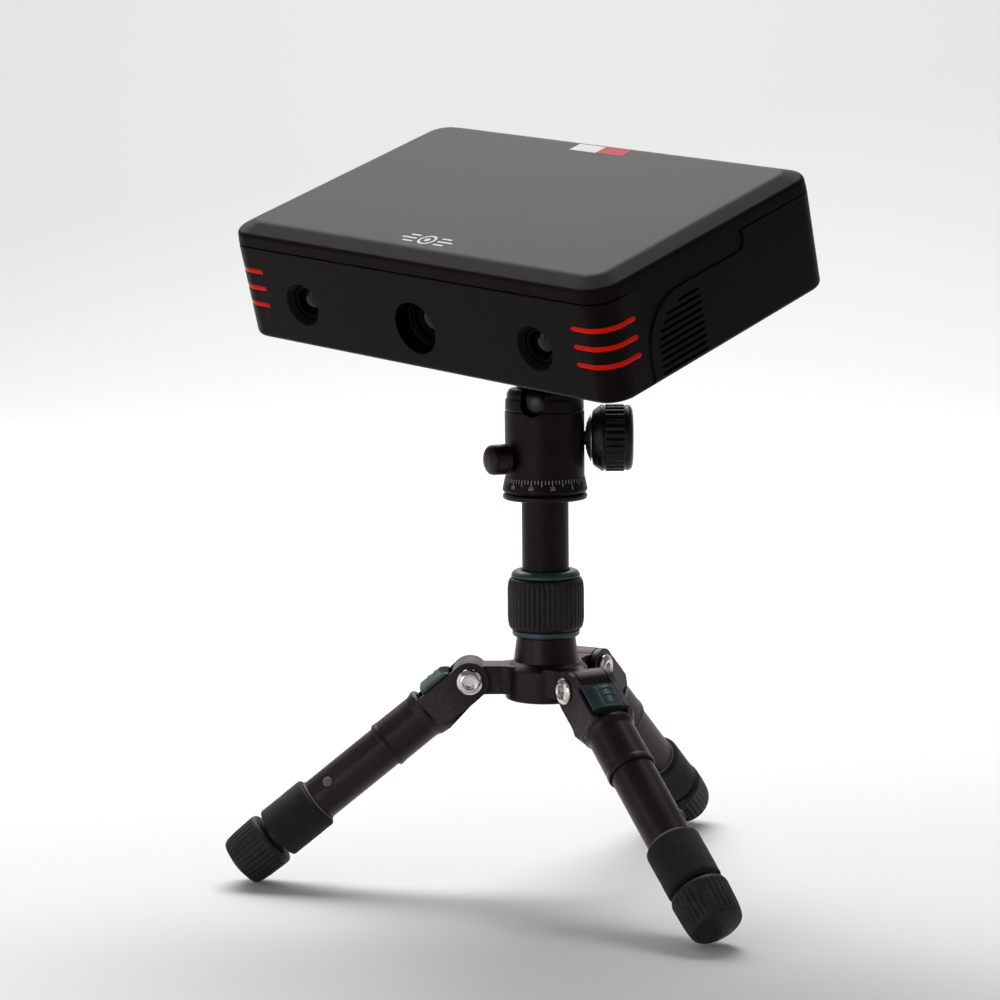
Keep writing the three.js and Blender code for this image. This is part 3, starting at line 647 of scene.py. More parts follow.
BLACK = (0.0125, 0.0084, 0.0086)
LOOKS = {
    "anodised_black": anodised("black_anodised", BLACK, (0.06, 0.055, 0.055), 0.36, 0.35),
    # The legs wear the same black anodising as the hub; this lighter copy is painted light, standing in for
    # the light that falls on the legs.
    "leg_black_painted_light": anodised("leg_anodised_painted_light", (0.02, 0.0145, 0.0155), (0.07, 0.064, 0.064), 0.36, 0.35),
    "column_black": anodised(
        "column_anodised", (0.0125, 0.009, 0.009), (0.05, 0.045, 0.045), 0.38, 0.15, 0.12,
    ),
    "knob_black": anodised("knob_black", (0.011, 0.0105, 0.012), (0.09, 0.088, 0.09), 0.3, 0.4),
    "anodised_teal": anodised("teal_anodised", (0.045, 0.074, 0.08), (0.16, 0.22, 0.23), 0.34, 0.4),
    "chrome": polished("bolt_chrome", (0.78, 0.76, 0.74), 0.08),
    "steel": polished("brushed_steel", (0.5, 0.49, 0.48), 0.24, (1, 1, 0.08)),
    # Near-black steel: painted shade. The ball is bare steel, dark only in the shaded notch under the
    # scanner.
    "steel_painted_shade": polished("steel_ball_painted_shade", (0.035, 0.033, 0.034), 0.2, (1, 1, 0.3)),
    "knob_rubber": rubber("grip_rubber", (0.0105, 0.0092, 0.0095), 0.5),
    "foot_rubber": rubber("foot_rubber", (0.017, 0.0168, 0.0185), 0.56),
    "foam": foam_cells(),
    "casing_black": moulded(
        "casing_black", (0.0045, 0.0028, 0.0028), 0.4, 2.2, 0.02, 0.3, (0.03, 0.024, 0.024),
    ),
    "cover_charcoal": moulded(
        "cover_charcoal", (0.0082, 0.0066, 0.0056), 0.42, 1.9, 0.03, 0.8, (0.058, 0.051, 0.045), shine=0.045),
    "stripe_red": light_strip(),
    "detail_grey": moulded("detail_grey", (0.2, 0.2, 0.205), 0.42, 2.5, 0.012),
    # The second colour of each lens is its painted coating reflection.
    "lens_glass": coated_glass("camera_glass", (0.002, 0.0024, 0.005), (0.012, 0.008, 0.022)),
    "projector_glass": coated_glass("projector_glass", (0.002, 0.003, 0.004), (0.008, 0.014, 0.018)),
    "circuit_board": board_green(),
    "bare_aluminium": polished("bare_aluminium", (0.6, 0.6, 0.6), 0.34, (0.1, 1, 1), on_cad=True),
    "spun_aluminium": polished("spun_aluminium", (0.55, 0.55, 0.55), 0.3, (0.1, 1, 1)),
    "nylon": nylon(),
    "print_white": printed("print_white", (0.62, 0.61, 0.6)),
    "print_silver": printed("print_silver", (0.74, 0.73, 0.72), 0.35),
    "label_white": printed("label_white", (0.8, 0.79, 0.78)),
    "label_red": printed("label_red", (0.5, 0.008, 0.02)),
}

# ---------------------------------------------------------------- hub, column and twist collar


def hub():
    profile = [
        (0, HUB_BOTTOM), (HUB_R - 0.8, HUB_BOTTOM), (HUB_R, HUB_BOTTOM + 0.8), (HUB_R, HUB_TOP - 1.5),
        (HUB_R - 1.8, HUB_TOP + 0.2), (16.1, HUB_TOP + 1.4), (15.4, HUB_TOP + 1.5), (15.3, 103.2),
        (15.2, 103.8), (13.8, 114.2), (SPIGOT_R, 114.2), (SPIGOT_R, SPIGOT_TOP), (0, SPIGOT_TOP),
    ]
    body = turned(eased(profile, 0.5), WIDE)
    half = ARM_WIDTH / 2
    fillet = 8
    run = math.sqrt((HUB_R + fillet - 0.12) ** 2 - (half + fillet) ** 2)
    meets = -90 - math.degrees(math.atan2(run, half + fillet))
    flare = [*arc(run, half + fillet, fillet, -90, meets, 14), (13, 9)]
    lower = [(x, -y) for x, y in reversed(flare)]
    plan = [(HINGE_R, -half), (HINGE_R, half), *flare, *lower]
    arms = []
    for azimuth in LEG_AZIMUTHS.values():
        arm = slab(plan, HINGE_Z - ARM_HEIGHT / 2, HINGE_Z + ARM_HEIGHT / 2)
        barrel = moved(rod(BARREL_R, -half, half, MEDIUM), ALONG_Y)
        join(arm, offset(barrel, HINGE_R, 0, HINGE_Z))
        hole = moved(rod(3.2, -20, 20, NARROW), ALONG_Y)
        cut(arm, offset(hole, HINGE_R, 0, HINGE_Z))
        arms.append(moved(arm, turn(azimuth, "Z")))
    join(body, *arms)
    bore = rod(BORE_R, HUB_BOTTOM - 5, SPIGOT_TOP + 5, WIDE)
    cut(body, bore, rod(STOP_R + GAP, HUB_BOTTOM - 5, STOP_TOP + GAP, WIDE))
    return softened(body, 0.25, 3)


def tube(inner, outer, low, high, ease=0.35, segments=WIDE):
    profile = [(inner, low), (outer, low), (outer, high), (inner, high)]
    return turned(eased(profile, ease, True), segments, True)


def twist_collar():
    lower = [(SPIGOT_R + GAP, 114.6), (15.3, 114.6), (15.9, 115.4), (15.9, 117.4), (SPIGOT_R + GAP, 117.4)]
    ring = turned(eased(lower, 0.4, True), WIDE, True)
    place(
        ring, "collar_lower_band", "twist_collar", "anodised_teal", LOOKS["anodised_teal"], TRIPOD,
        "collar_bottom_ring",
    )

    outer = [
        (SPIGOT_R + GAP, 117.7), (16.3, 117.7), (17.2, 118.7), (17.7, 120.6), (COLLAR_R, 123), (
            COLLAR_R, 136.8,
        ),
        (17.8, 139.2), (17.3, 141), (16.5, 142.1), (COLUMN_R + 0.5, 142.1),
    ]
    inner = [(COLUMN_R + 0.5, 141.5), (14.6, 137.6), (14.6, SPIGOT_TOP + 1), (SPIGOT_R + GAP, SPIGOT_TOP + 1)]
    profile = finely(eased(outer, 0.9), 0.8) + inner
    ribs = fluted(44, 0.62, 118.9, 141.2, 1.6, 2.2)
    body = turned(profile, 44 * 8, True, lambda a, r, z: ribs(a, r, z) if r > 16 else 0)
    place(
        body, "collar_ribbed_grip", "twist_collar", "knob_rubber", LOOKS["knob_rubber"], TRIPOD,
        "collar_grip",
    )

    inside = COLUMN_R + 0.5
    upper = [
        (inside, 142.4), (15.9, 142.4), (16.3, 143), (16.1, 144), (15, 145.3), (13.6, 145.8),
        (inside, 145.8),
    ]
    band = turned(eased(upper, 0.5, True), WIDE, True)
    place(
        band, "collar_upper_band", "twist_collar", "anodised_teal", LOOKS["anodised_teal"], TRIPOD,
        "collar_top_ring",
    )


def tripod_column():
    place(hub(), "tripod_hub", "base", "anodised_black", LOOKS["anodised_black"], TRIPOD, "hub")
    pipe = tube(COLUMN_R - 1.5, COLUMN_R, STOP_TOP + GAP, COLUMN_TOP)
    place(pipe, "column_pipe", "column", "anodised_black", LOOKS["column_black"], TRIPOD, "column_tube")
    low = HUB_BOTTOM + 0.2
    profile = [
        (0, low + 1.6), (5, low + 1.6), (5.6, low), (STOP_R, low), (STOP_R, STOP_TOP), (9.2, STOP_TOP),
        (9.2, 97), (0, 97),
    ]
    plug = turned(eased(profile, 0.5), MEDIUM)
    place(plug, "column_plug", "column", "anodised_black", LOOKS["anodised_black"], TRIPOD, "column_end_stop")


# ---------------------------------------------------------------- one leg, along +X from its pin


def leg_bracket():
    """Two cheeks round the hub's barrel, the web between them and the sleeve that holds the tube."""
    belly = [
        (4, -9.2), (9, -9.2), (13, -9.0), (16.5, -9.2), (19, -10.4), (21, -11.5), (22.4, -11.9),
        (26, -11.9),
    ]
    outline = arc(0, 0, BARREL_R, 90, 262, 22) + eased(belly, 2.2) + [
        (26, BARREL_R - 0.4), (5, BARREL_R - 0.4),
    ]
    cheeks = []
    for side in (-1, 1):
        cheek = side_slab(outline, (CHEEK_OUTER - CHEEK_INNER) / 2)
        cheeks.append(offset(cheek, 0, side * (CHEEK_OUTER + CHEEK_INNER) / 2, 0))
    start = SLEEVE_START
    web_outline = arc(0, 0, BARREL_R + 0.5, -44, 36, 10)
    web_outline += [
        (start + 2, 6), (start + 2, -11.6), (22.4, -11.6), (21, -11.2), (19, -10.2), (16.5, -9),
        (13, -8.8),
    ]
    web = side_slab(web_outline, CHEEK_INNER + 0.5)
    profile = [
        (0, start), (11.2, start), (12.15, start + 0.9), (12.15, 26.9), (11.6, 28), (11.2, 29.6), (
            11.3, 48.3,
        ),
        (11.5, 49.1), (11.55, 50.6), (11.4, SLEEVE_END), (0, SLEEVE_END),
    ]
    sleeve = moved(turned(eased(profile, 0.4), WIDE), ALONG_X)
    body = join(cheeks[0], cheeks[1], web, sleeve)
    swell = [(0, -12), (17.5, -12), (17.5, 12), (16.6, 15), (13.9, 22.5), (12.6, 26), (12.6, 60), (0, 60)]
    common(body, moved(turned(eased(swell, 1.5), WIDE), ALONG_X))
    socket = moved(rod(TUBE_R + GAP, 30, SLEEVE_END + 5, WIDE), ALONG_X)
    pin_hole = moved(rod(3.2, -20, 20, NARROW), ALONG_Y)
    cut(body, socket, pin_hole)
    return softened(body, 0.35, 3, 40)


def hinge_bolt():
    """Bolt with a domed head at each end and a hex socket in each head."""
    face = [
        (2.9, 11.6), (6.0, 11.6), (6.2, 11.8), (6.2, 12.5), (5.95, 12.9), (5.2, 13.5), (4.3, 13.95), (
            3.7, 14.15,
        ),
        (3.3, 14.05), (3.0, 13.75), (0, 13.75),
    ]
    profile = [(r, -h) for r, h in reversed(face)] + face
    body = turned(eased(profile, 0.15), MEDIUM)
    hexagon = arc(0, 0, 2.55, 0, 300, 5)
    cut(body, slab(hexagon, 12.2, 20), slab(hexagon, -20, -12.2))
    return moved(softened(body, 0.12, 2), ALONG_Y)


def lock_tab():
    """Angle lock: a crowned cap over the cheeks' edges, two thumb ridges and a serrated upper slope."""
    low = BARREL_R
    section = [
        (5.2, low), (8.9, TAB_TOP), (19.4, TAB_TOP), (20.5, TAB_TOP - 0.5), (21.1, TAB_TOP - 1.6), (
            21.2, low,
        ),
    ]
    cap = side_slab(eased(section, 0.5, True, 3), TAB_HALF)
    crown = offset(moved(rod(TAB_CROWN_R, 0, 30, 192), ALONG_X), 0, 0, TAB_TOP - TAB_CROWN_R)
    common(cap, crown)
    grooves = []
    for i in range(11):
        groove = block((-2.2, -0.32, -0.32), (3.4, 0.32, 0.32))
        moved(groove, turn(-45.8, "Y") @ turn(45, "X"))
        grooves.append(offset(groove, 6.9, -7.5 + 1.5 * i, low + 1.62))
    cut(cap, *grooves)
    tongue = side_slab([(11.2, 6.4), (21.1, 6.4), (21.1, low + 0.5), (10.9, low + 0.5)], CHEEK_INNER - GAP)
    join(cap, tongue)
    softened(cap, 0.22, 2, 45)
    ridges = []
    for at in (10.8, 14.6):
        ridge = turned(arc(0, 0, 1, -90, 90, 12), NARROW)
        moved(ridge, Matrix.Diagonal((0.62, 4, 0.62, 1)))
        for vertex in ridge.data.vertices:
            vertex.co.x += 1.1 * (vertex.co.y / 4) ** 2
            vertex.co.z -= vertex.co.y**2 / (2 * TAB_CROWN_R)
        ridges.append(offset(ridge, at, 0.4, TAB_TOP - 0.08))
    return gathered(cap, *ridges)


def leg_tube():
    bore = TUBE_R - 1.3
    body = moved(tube(bore, TUBE_R, 30.4, TUBE_END), ALONG_X)
    hole = moved(rod(2.75, 5, 15, NARROW), turn(BUTTON_TILT, "X") @ ALONG_Y)
    cut(body, offset(hole, BUTTON_AT, 0, 0))
    return softened(body, 0.15, 2)


def extension_button():
    profile = [(0, 7.5), (1.6, 7.5), (1.6, 9.5), (2.45, 9.5), (2.45, 10.9), (1.9, 11.25), (0, 11.4)]
    body = moved(turned(eased(profile, 0.35), NARROW), turn(BUTTON_TILT, "X") @ ALONG_Y)
    return offset(body, BUTTON_AT, 0, 0)


def inner_tube():
    body = moved(tube(INNER_TUBE_R - 1.5, INNER_TUBE_R, 43, 131), ALONG_X)
    half = 2.1
    outline = arc(BUTTON_AT - 34.9, 0, half, 90, 270, 10) + arc(BUTTON_AT + 1.9, 0, half, -90, 90, 10)
    slot = moved(slab(outline, -12, -4), turn(BUTTON_TILT, "X") @ turn(90, "X"))
    cut(body, slot)
    return softened(body, 0.12, 2)


def foam_grip():
    inner = INNER_TUBE_R + GAP
    outline = [(inner, FOAM_START), (FOAM_R, FOAM_START), (FOAM_R, FOAM_END), (inner, FOAM_END)]
    profile = finely(eased(outline, 1.5, True, 8), 1.2)

    def dents(angle, radius, height):
        along = math.sin(height * 0.9 + 2 * angle) + math.sin(height * 0.4 - 3 * angle)
        return 0.05 + 0.03 * along if radius > inner + 1 else 0

    return moved(turned(profile, WIDE, True, dents), ALONG_X)


def rubber_foot():
    """Flared fluted cup with a plain lip at each end and a shallow cone underneath."""
    inner = INNER_TUBE_R + GAP
    outer = [
        (inner, FOOT_START), (12.2, FOOT_START), (13.3, FOOT_START + 0.7), (13.7, FOOT_START + 2.2),
        (13.25, FOOT_END - 9), (12.7, FOOT_END - 4.4), (12.1, FOOT_END - 2.8), (11.4, FOOT_END - 2.2),
        (6, FOOT_END - 0.7), (0, FOOT_END),
    ]
    profile = [(0, 131.4), (inner, 131.4)] + finely(eased(outer, 0.9), 0.7)
    grooves = fluted(30, 0.5, FOOT_START + 2.2, FOOT_END - 3.6, 1.2, 3.2)
    return moved(turned(profile, 30 * 8, False, lambda a, r, z: grooves(a, r, z) if r > 12 else 0), ALONG_X)


def leg(side):
    at = leg_place(LEG_AZIMUTHS[side])
    upper = f"leg_{side}"
    lower = f"leg_{side}_lower"
    # The legs' lighter black is painted light: a lit copy of the black anodising.
    black = LOOKS["leg_black_painted_light"]

    def add(obj, piece, body, slot, look, node):
        return place(obj, f"{upper}_{piece}", body, slot, look, at, f"{upper}_{node}")

    add(leg_bracket(), "clevis", upper, "anodised_black", black, "bracket")
    add(hinge_bolt(), "bolt", upper, "chrome", LOOKS["chrome"], "hinge_bolt")
    add(lock_tab(), "angle_tab", f"{upper}_tab", "anodised_teal", LOOKS["anodised_teal"], "lock_tab")
    add(leg_tube(), "upper_pipe", upper, "anodised_black", black, "outer_tube")
    low = TUBE_END + GAP
    ring = moved(tube(INNER_TUBE_R + GAP, 10.8, low, low + 1, 0.3), ALONG_X)
    add(ring, "grey_ring", upper, "detail_grey", LOOKS["detail_grey"], "end_ring")
    add(
        extension_button(), "button", f"{upper}_button", "detail_grey", LOOKS["detail_grey"],
        "extension_button",
    )
    add(inner_tube(), "lower_pipe", lower, "anodised_black", black, "inner_tube")
    grip = add(foam_grip(), "foam_sleeve", lower, "foam", LOOKS["foam"], "foam_grip")
    add(rubber_foot(), "foot", lower, "foot_rubber", LOOKS["foot_rubber"], "rubber_foot")


# ---------------------------------------------------------------- ball head


def pan_flange():
    low = FLANGE_Z
    profile = [
        (0, 168), (9.2, 168), (9.2, low - 0.2), (12, low - 0.2), (19.2, low), (19.8, low + 0.6), (
            19.8, low + 2,
        ),
        (19.2, low + 2.6), (SPINDLE_R, low + 2.6), (SPINDLE_R, 201), (0, 201),
    ]
    return turned(eased(profile, 0.4), WIDE)


def head_housing():
    outer = [
        (SPINDLE_R + GAP, 182.4), (SKIRT_R - 0.9, 182.4), (SKIRT_R, 183.6), (SKIRT_R - 0.1, SKIRT_LOW),
        (HOUSING_R, SKIRT_HIGH), (HOUSING_R, 220.4), (HOUSING_R - 0.45, 220.8), (HOUSING_R - 0.45, 221.2),
        (HOUSING_R - 0.15, 221.6), (HOUSING_R - 0.35, 226), (HOUSING_R - 0.8, 226.4), (
            HOUSING_R - 1.0, 226.8,
        ),
        (HOUSING_R - 1.1, 229), (HOUSING_R - 2.2, 230.7), (16, RIM_Z), (14.3, RIM_Z),
    ]
    cup = BALL_R + GAP
    bowl = arc(0, BALL_Z, cup, 21, 0, 8) + [(cup, 221), (14.3, 218.4), (14.3, 203.3), (0, 203.3)]
    below = [(0, 201.3), (SPINDLE_R + GAP, 201.3)]
    body = turned(finely(eased(below + outer, 0.25), 2.5) + bowl, WIDE)
    notch = moved(rod(NOTCH_R, 10, 25, MEDIUM), ALONG_X)
    opening = block((10, -NOTCH_R, 0), (25, NOTCH_R, 20))
    tools = [moved(offset(join(notch, opening), 0, 0, BALL_Z), turn(NOTCH_AZIMUTH, "Z"))]
    tools.append(offset(moved(rod(3.8, 10, 25, NARROW), ALONG_X), 0, 0, BALL_KNOB_Z))
    pan_hole = offset(moved(rod(2.6, 8, 25, NARROW), ALONG_X), 0, 0, PAN_KNOB_Z)
    tools.append(moved(pan_hole, turn(PAN_KNOB_AZIMUTH, "Z")))
    cut(body, *tools)
    return softened(body, 0.3, 2, 42)


def on_skirt(obj, azimuth, height):
    """Wraps a flat print (x across, y up, z out) on the sloping skirt, its origin `height` up the slope."""
    rise = SKIRT_HIGH - SKIRT_LOW
    taper = HOUSING_R - (SKIRT_R - 0.1)
    slope = math.hypot(rise, taper)
    for vertex in obj.data.vertices:
        x, y, z = vertex.co
        along = (height + y) / slope
        radius = SKIRT_R - 0.1 + taper * along + z * rise / slope
        level = SKIRT_LOW + rise * along - z * taper / slope
        angle = math.radians(azimuth) + x / HOUSING_R
        vertex.co = (radius * math.cos(angle), radius * math.sin(angle), level)
    return obj


INK = 0.05  # how far a print stands out


def number(value, size):
    curve = bpy.data.curves.new("digits", "FONT")
    curve.body = str(value)
    curve.size = size
    curve.align_x = "CENTER"
    curve.extrude = INK
    text = bpy.data.objects.new("digits", curve)
    bpy.context.scene.collection.objects.link(text)
    bpy.context.view_layer.update()
    graph = bpy.context.evaluated_depsgraph_get()
    mesh = bpy.data.meshes.new_from_object(text.evaluated_get(graph))
    bpy.data.objects.remove(text)
    obj = bpy.data.objects.new("digits", mesh)
    bpy.context.scene.collection.objects.link(obj)
    return obj


def degree_scale():
    """Ticks every 5 degrees, long ones every 15, and a number every 30."""
    marks = []
    for value in range(0, 360, 5):
        length = 2.9 if value % 15 == 0 else 1.8
        tick = block((-0.17, -length, -INK), (0.17, 0, INK))
        marks.append(on_skirt(tick, ZERO_AZIMUTH - value, 5.0))
    for value in range(0, 360, 30):
        marks.append(on_skirt(number(value, 2.35), ZERO_AZIMUTH - value, 0.35))
    scale = gathered(*marks)
    place(scale, "degree_scale", "head", "anodised_black", LOOKS["print_white"], TRIPOD)


def ball_knob():
    """Large clamping knob: plain neck, bare dished back, fluted grip between two rings, flat cap."""
    outer = [
        (0, 5), (1.6, 5), (3.4, 8.6), (3.4, 19.1), (5.5, 19.1), (5.5, 21.3), (9.9, 22), (12.6, 22.4), (
            14.0, 24.2,
        ),
        (14.9, 25.6), (15.5, 26.3), (15.6, 27.3), (15, 27.7), (15.1, 28.1), (BALL_KNOB_R, 28.5), (
            BALL_KNOB_R, 36.8,
        ),
        (15.1, 37.2), (15.0, 37.6), (15.4, 38), (15.3, 39), (14.6, 40.3), (13, 41), (11, 41.3), (0, 41.3),
    ]
    grooves = fluted(30, 0.7, 28.2, 37.1, 0.5, 1.2)
    profile = finely(eased(outer, 0.3, False, 3), 0.9)
    body = turned(profile, 30 * 8, False, lambda a, r, z: grooves(a, r, z) if r > 14 else 0)
    at = TRIPOD @ shift(0, 0, BALL_KNOB_Z)
    place(
        moved(body, ALONG_X), "ball_knob_grip", "ball_knob", "knob_rubber", LOOKS["knob_black"], at,
        "ball_lock_knob",
    )
    dish = [(5.7, 19.4), (7.2, 19.6), (11.3, 21.4), (11.3, 21.75), (5.7, 21.1)]
    cone = moved(turned(eased(dish, 0.2, True), WIDE, True), ALONG_X)
    place(cone, "ball_knob_dish", "ball_knob", "steel", LOOKS["spun_aluminium"], at)


def pan_knob():
    profile = [
        (0, 10.4), (2.2, 10.4), (2.2, 19), (4.2, 19), (4.2, 20.4), (6.7, 20.4), (7.1, 20.9), (7.1, 21.9), (
            6.8, 22.1,
        ),
        (6.8, 22.5), (7.1, 22.7), (7.1, 27.6), (6.7, 29.1), (5.4, 30.1), (3.2, 30.65), (0, 30.8),
    ]
    body = moved(turned(eased(profile, 0.4), MEDIUM), ALONG_X)
    at = TRIPOD @ shift(0, 0, PAN_KNOB_Z) @ turn(PAN_KNOB_AZIMUTH, "Z")
    place(body, "pan_knob_cap", "pan_knob", "anodised_black", LOOKS["anodised_black"], at, "pan_lock_knob")


def ball_and_neck():
    sphere = turned(arc(0, 0, BALL_R, -90, 90, 48), WIDE)
    # The ball's near-black colour is painted shade for the dark notch it sits in.
    place(sphere, "steel_ball_painted_shade", "ball", "anodised_black", LOOKS["steel_painted_shade"], STEM, "ball")
    dish = BALL_R + GAP
    foot = [(max(x, 0), z) for x, z in arc(0, 0, dish, 90, 67, 8)]
    stem = [
        (5.6, 17.5), (6.1, 19.4), (11.4, 21.4), (12, 22), (12, CLAMP_BOTTOM - GAP),
        (0, CLAMP_BOTTOM - GAP),
    ]
    neck = turned(foot + eased(stem, 0.5), MEDIUM)
    place(neck, "stem_neck", "neck", "anodised_black", LOOKS["steel_painted_shade"], STEM, "neck")


def ball_head():
    black = LOOKS["anodised_black"]
    place(pan_flange(), "pan_flange", "column", "anodised_black", black, TRIPOD, "pan_base")
    place(
        head_housing(), "housing_shell", "head", "anodised_black", LOOKS["column_black"], TRIPOD,
        "head_housing",
    )
    degree_scale()
    ball_knob()
    pan_knob()
    ball_and_neck()


# ---------------------------------------------------------------- clamp and plate, on the stem

PLATE_HALF = 19
DOVETAIL_HALF = 15.5


def jaw_section(inner, outer):
    return [
        (inner, CLAMP_BOTTOM), (outer, CLAMP_BOTTOM), (outer, 41), (16.1, 41), (19.5, 37.4), (19.5, 35.2),
        (inner, 35.2),
    ]


def clamp():
    black = LOOKS["anodised_black"]
    deck = block((-20, -19, CLAMP_BOTTOM), (20, 18.4, 35))
    fixed = moved(cross_slab(jaw_section(18.8, 24.4), 20), turn(180, "Z"))
    screw_hole = offset(moved(rod(2.9, -6, 20, NARROW), ALONG_Y), 0, 0, CLAMP_SCREW_Z)
    body = softened(cut(join(deck, fixed), screw_hole), 0.6, 3)
    place(body, "clamp_seat", "scanner", "anodised_black", black, STEM, "clamp_body")

    jaw = cross_slab(jaw_section(18.8, 24.8), 20)
    hole = offset(moved(rod(2.9, 15, 30, NARROW), ALONG_Y), 0, 0, CLAMP_SCREW_Z)
    jaw = softened(cut(jaw, hole), 0.5, 3)
    place(jaw, "clamp_moving_jaw", "jaw", "anodised_black", black, STEM, "clamp_jaw")

    grooves = fluted(16, 0.6, 27.8, 37, 0.8, 1.1)
    profile = [
        (0, -3), (2.6, -3), (2.6, 25.1), (6.4, 25.1), (6.4, 27), (8.2, 27), (8.2, 37.4), (7.4, 37.6),
        (0, 37.6),
    ]
    knob = turned(
        finely(eased(profile, 0.5), 0.9), 16 * 8, False, lambda a, r, z: grooves(a, r, z) if r > 7 else 0,
    )
    at = STEM @ shift(0, 0, CLAMP_SCREW_Z)
    place(
        moved(knob, ALONG_Y), "clamp_screw_knob", "clamp_screw", "anodised_black", LOOKS["knob_black"], at,
        "clamp_knob",
    )

    half = [
        (PLATE_HALF, PLATE_BOTTOM), (PLATE_HALF, 36.8), (DOVETAIL_HALF, 40.2), (DOVETAIL_HALF, 41.4),
        (PLATE_HALF, 41.4), (PLATE_HALF, SCANNER_BOTTOM - GAP),
    ]
    outline = half + [(-y, z) for y, z in reversed(half)]
    plate = cut(cross_slab(outline, 25), rod(7.4, 30, 39.3, MEDIUM), rod(3.45, 30, 50, NARROW))
    place(
        softened(plate, 0.35, 2), "dovetail_plate", "scanner", "anodised_black", black, STEM,
        "quick_release_plate",
    )

    head = turned(eased([(0, 35.7), (7, 35.7), (7, 39), (3.1, 39), (3.1, 50.4), (0, 50.4)], 0.4), MEDIUM)
    cut(head, block((-8, -0.8, 35), (8, 0.8, 37)))
    place(softened(head, 0.1, 2), "mount_screw", "scanner", "steel", LOOKS["steel"], STEM, "camera_screw")


# ---------------------------------------------------------------- scanner


def case_loft(profile, name="case"):
    """Rings of the casing's rounded rectangle at (inset, height) pairs, flat at both ends."""
    bm = bmesh.new()
    rings = []
    for inset, height in profile:
        corner = CASE_CORNER - 0.75 * inset + CORNER_SWELL * max(0, height - SEAM_Z)
        outline = rounded_rectangle(CASE_X - inset, CASE_Y - inset, corner)
        rings.append([bm.verts.new((x, y, height)) for x, y in outline])
    skin(bm, rings, False)
    bm.faces.new(rings[0])
    bm.faces.new(rings[-1])
    return solid(name, bm)


def mirrored(obj):
    obj.data.transform(Matrix.Diagonal((-1, 1, 1, 1)))
    obj.data.flip_normals()
    return obj


def corner_path(side, step=0.9):
    """(point, outward direction) along the front right corner, from a stripe's front end to its side end."""
    x = CASE_X - CASE_CORNER
    y = CASE_Y - CASE_CORNER
    front = [((STRIPE_FRONT_X + i * (x - STRIPE_FRONT_X) / 8, -CASE_Y), (0, -1)) for i in range(8)]
    bend = []
    for i in range(17):
        a = math.radians(-90 + 90 * i / 16)
        bend.append((
            (x + CASE_CORNER * math.cos(a), -y + CASE_CORNER * math.sin(a)),
            (math.cos(a), math.sin(a)),
        ))
    flank = [((CASE_X, -y + (STRIPE_SIDE_Y + y) * i / 8), (1, 0)) for i in range(1, 9)]
    return [((px * side, py), (nx * side, ny)) for (px, py), (nx, ny) in front + bend + flank]


def stripe_band(side, z, half, inner, outer, crown):
    """A bar round one front corner with rounded ends, from `inner` to `outer` off the casing's face."""
    path = corner_path(side)
    lengths = [0.0]
    for (a, _), (b, _) in zip(path, path[1:]):
        lengths.append(lengths[-1] + math.dist(a, b))
    total = lengths[-1]
    marks = sorted(set(lengths + [half * (1 - math.cos(math.radians(t))) for t in (15, 30, 45, 60, 75, 90)]
                       + [total - half * (1 - math.cos(math.radians(t))) for t in (15, 30, 45, 60, 75, 90)]))
    bm = bmesh.new()
    rings = []
    for mark in marks:
        k = max(0, min(len(path) - 2, sum(1 for length in lengths if length <= mark) - 1))
        t = (mark - lengths[k]) / (lengths[k + 1] - lengths[k])
        (ax, ay), (anx, any_) = path[k]
        (bx, by), (bnx, bny) = path[k + 1]
        px, py = ax + (bx - ax) * t, ay + (by - ay) * t
        nx, ny = anx + (bnx - anx) * t, any_ + (bny - any_) * t
        end = min(mark, total - mark)
        reach = half if end >= half else math.sqrt(max(0.0, half**2 - (half - end) ** 2))
        reach = max(reach, 0.04)
        section = [
            (inner, -reach), (outer - crown, -reach), (outer - crown * 0.3, -0.72 * reach),
            (outer, -0.3 * reach), (outer, 0.3 * reach), (outer - crown * 0.3, 0.72 * reach),
            (outer - crown, reach), (inner, reach),
        ]
        rings.append([bm.verts.new((px + nx * d, py + ny * d, z + h)) for d, h in section])
    skin(bm, rings, False)
    bm.faces.new(rings[0])
    bm.faces.new(rings[-1])
    return solid("stripe", bm)


def side_recess(side):
    """The shallow step in front of and above each side panel."""
    outline = [(-61, -5), (-61, SEAM_Z + 5), (20, SEAM_Z + 5)]
    outline += arc(16, 40.6, 4, 0, -90, 8)
    outline += arc(PANEL_ARC_Y, PANEL_ARC_Z, PANEL_ARC_R, 90, 180, 24)
    outline += [(PANEL_ARC_Y - PANEL_ARC_R, -5)]
    zone = offset(cross_slab(outline, 10), CASE_X, 0, 0)
    depth = slab(
        [
            (CASE_X + 2, -61), (CASE_X, -61), (CASE_X - PANEL_STEP, -44), (CASE_X - PANEL_STEP, 25),
            (CASE_X + 2, 25),
        ],
        -10, 60,
    )
    recess = common(zone, depth)
    return recess if side > 0 else mirrored(recess)


def vent_slots(side):
    slots = []
    half = VENT_H / 2
    for i in range(VENT_COUNT):
        z = VENT_TOP_Z - i * VENT_PITCH
        rise = max(z - PANEL_ARC_Z, 0)
        front = PANEL_ARC_Y - math.sqrt((PANEL_ARC_R - 5.5) ** 2 - rise**2)
        outline = arc(front + half, z, half, 90, 270, 6) + arc(VENT_REAR_Y - half, z, half, -90, 90, 6)
        slots.append(offset(cross_slab(outline, WALL + 1), side * (CASE_X - WALL / 2), 0, 0))
    return slots


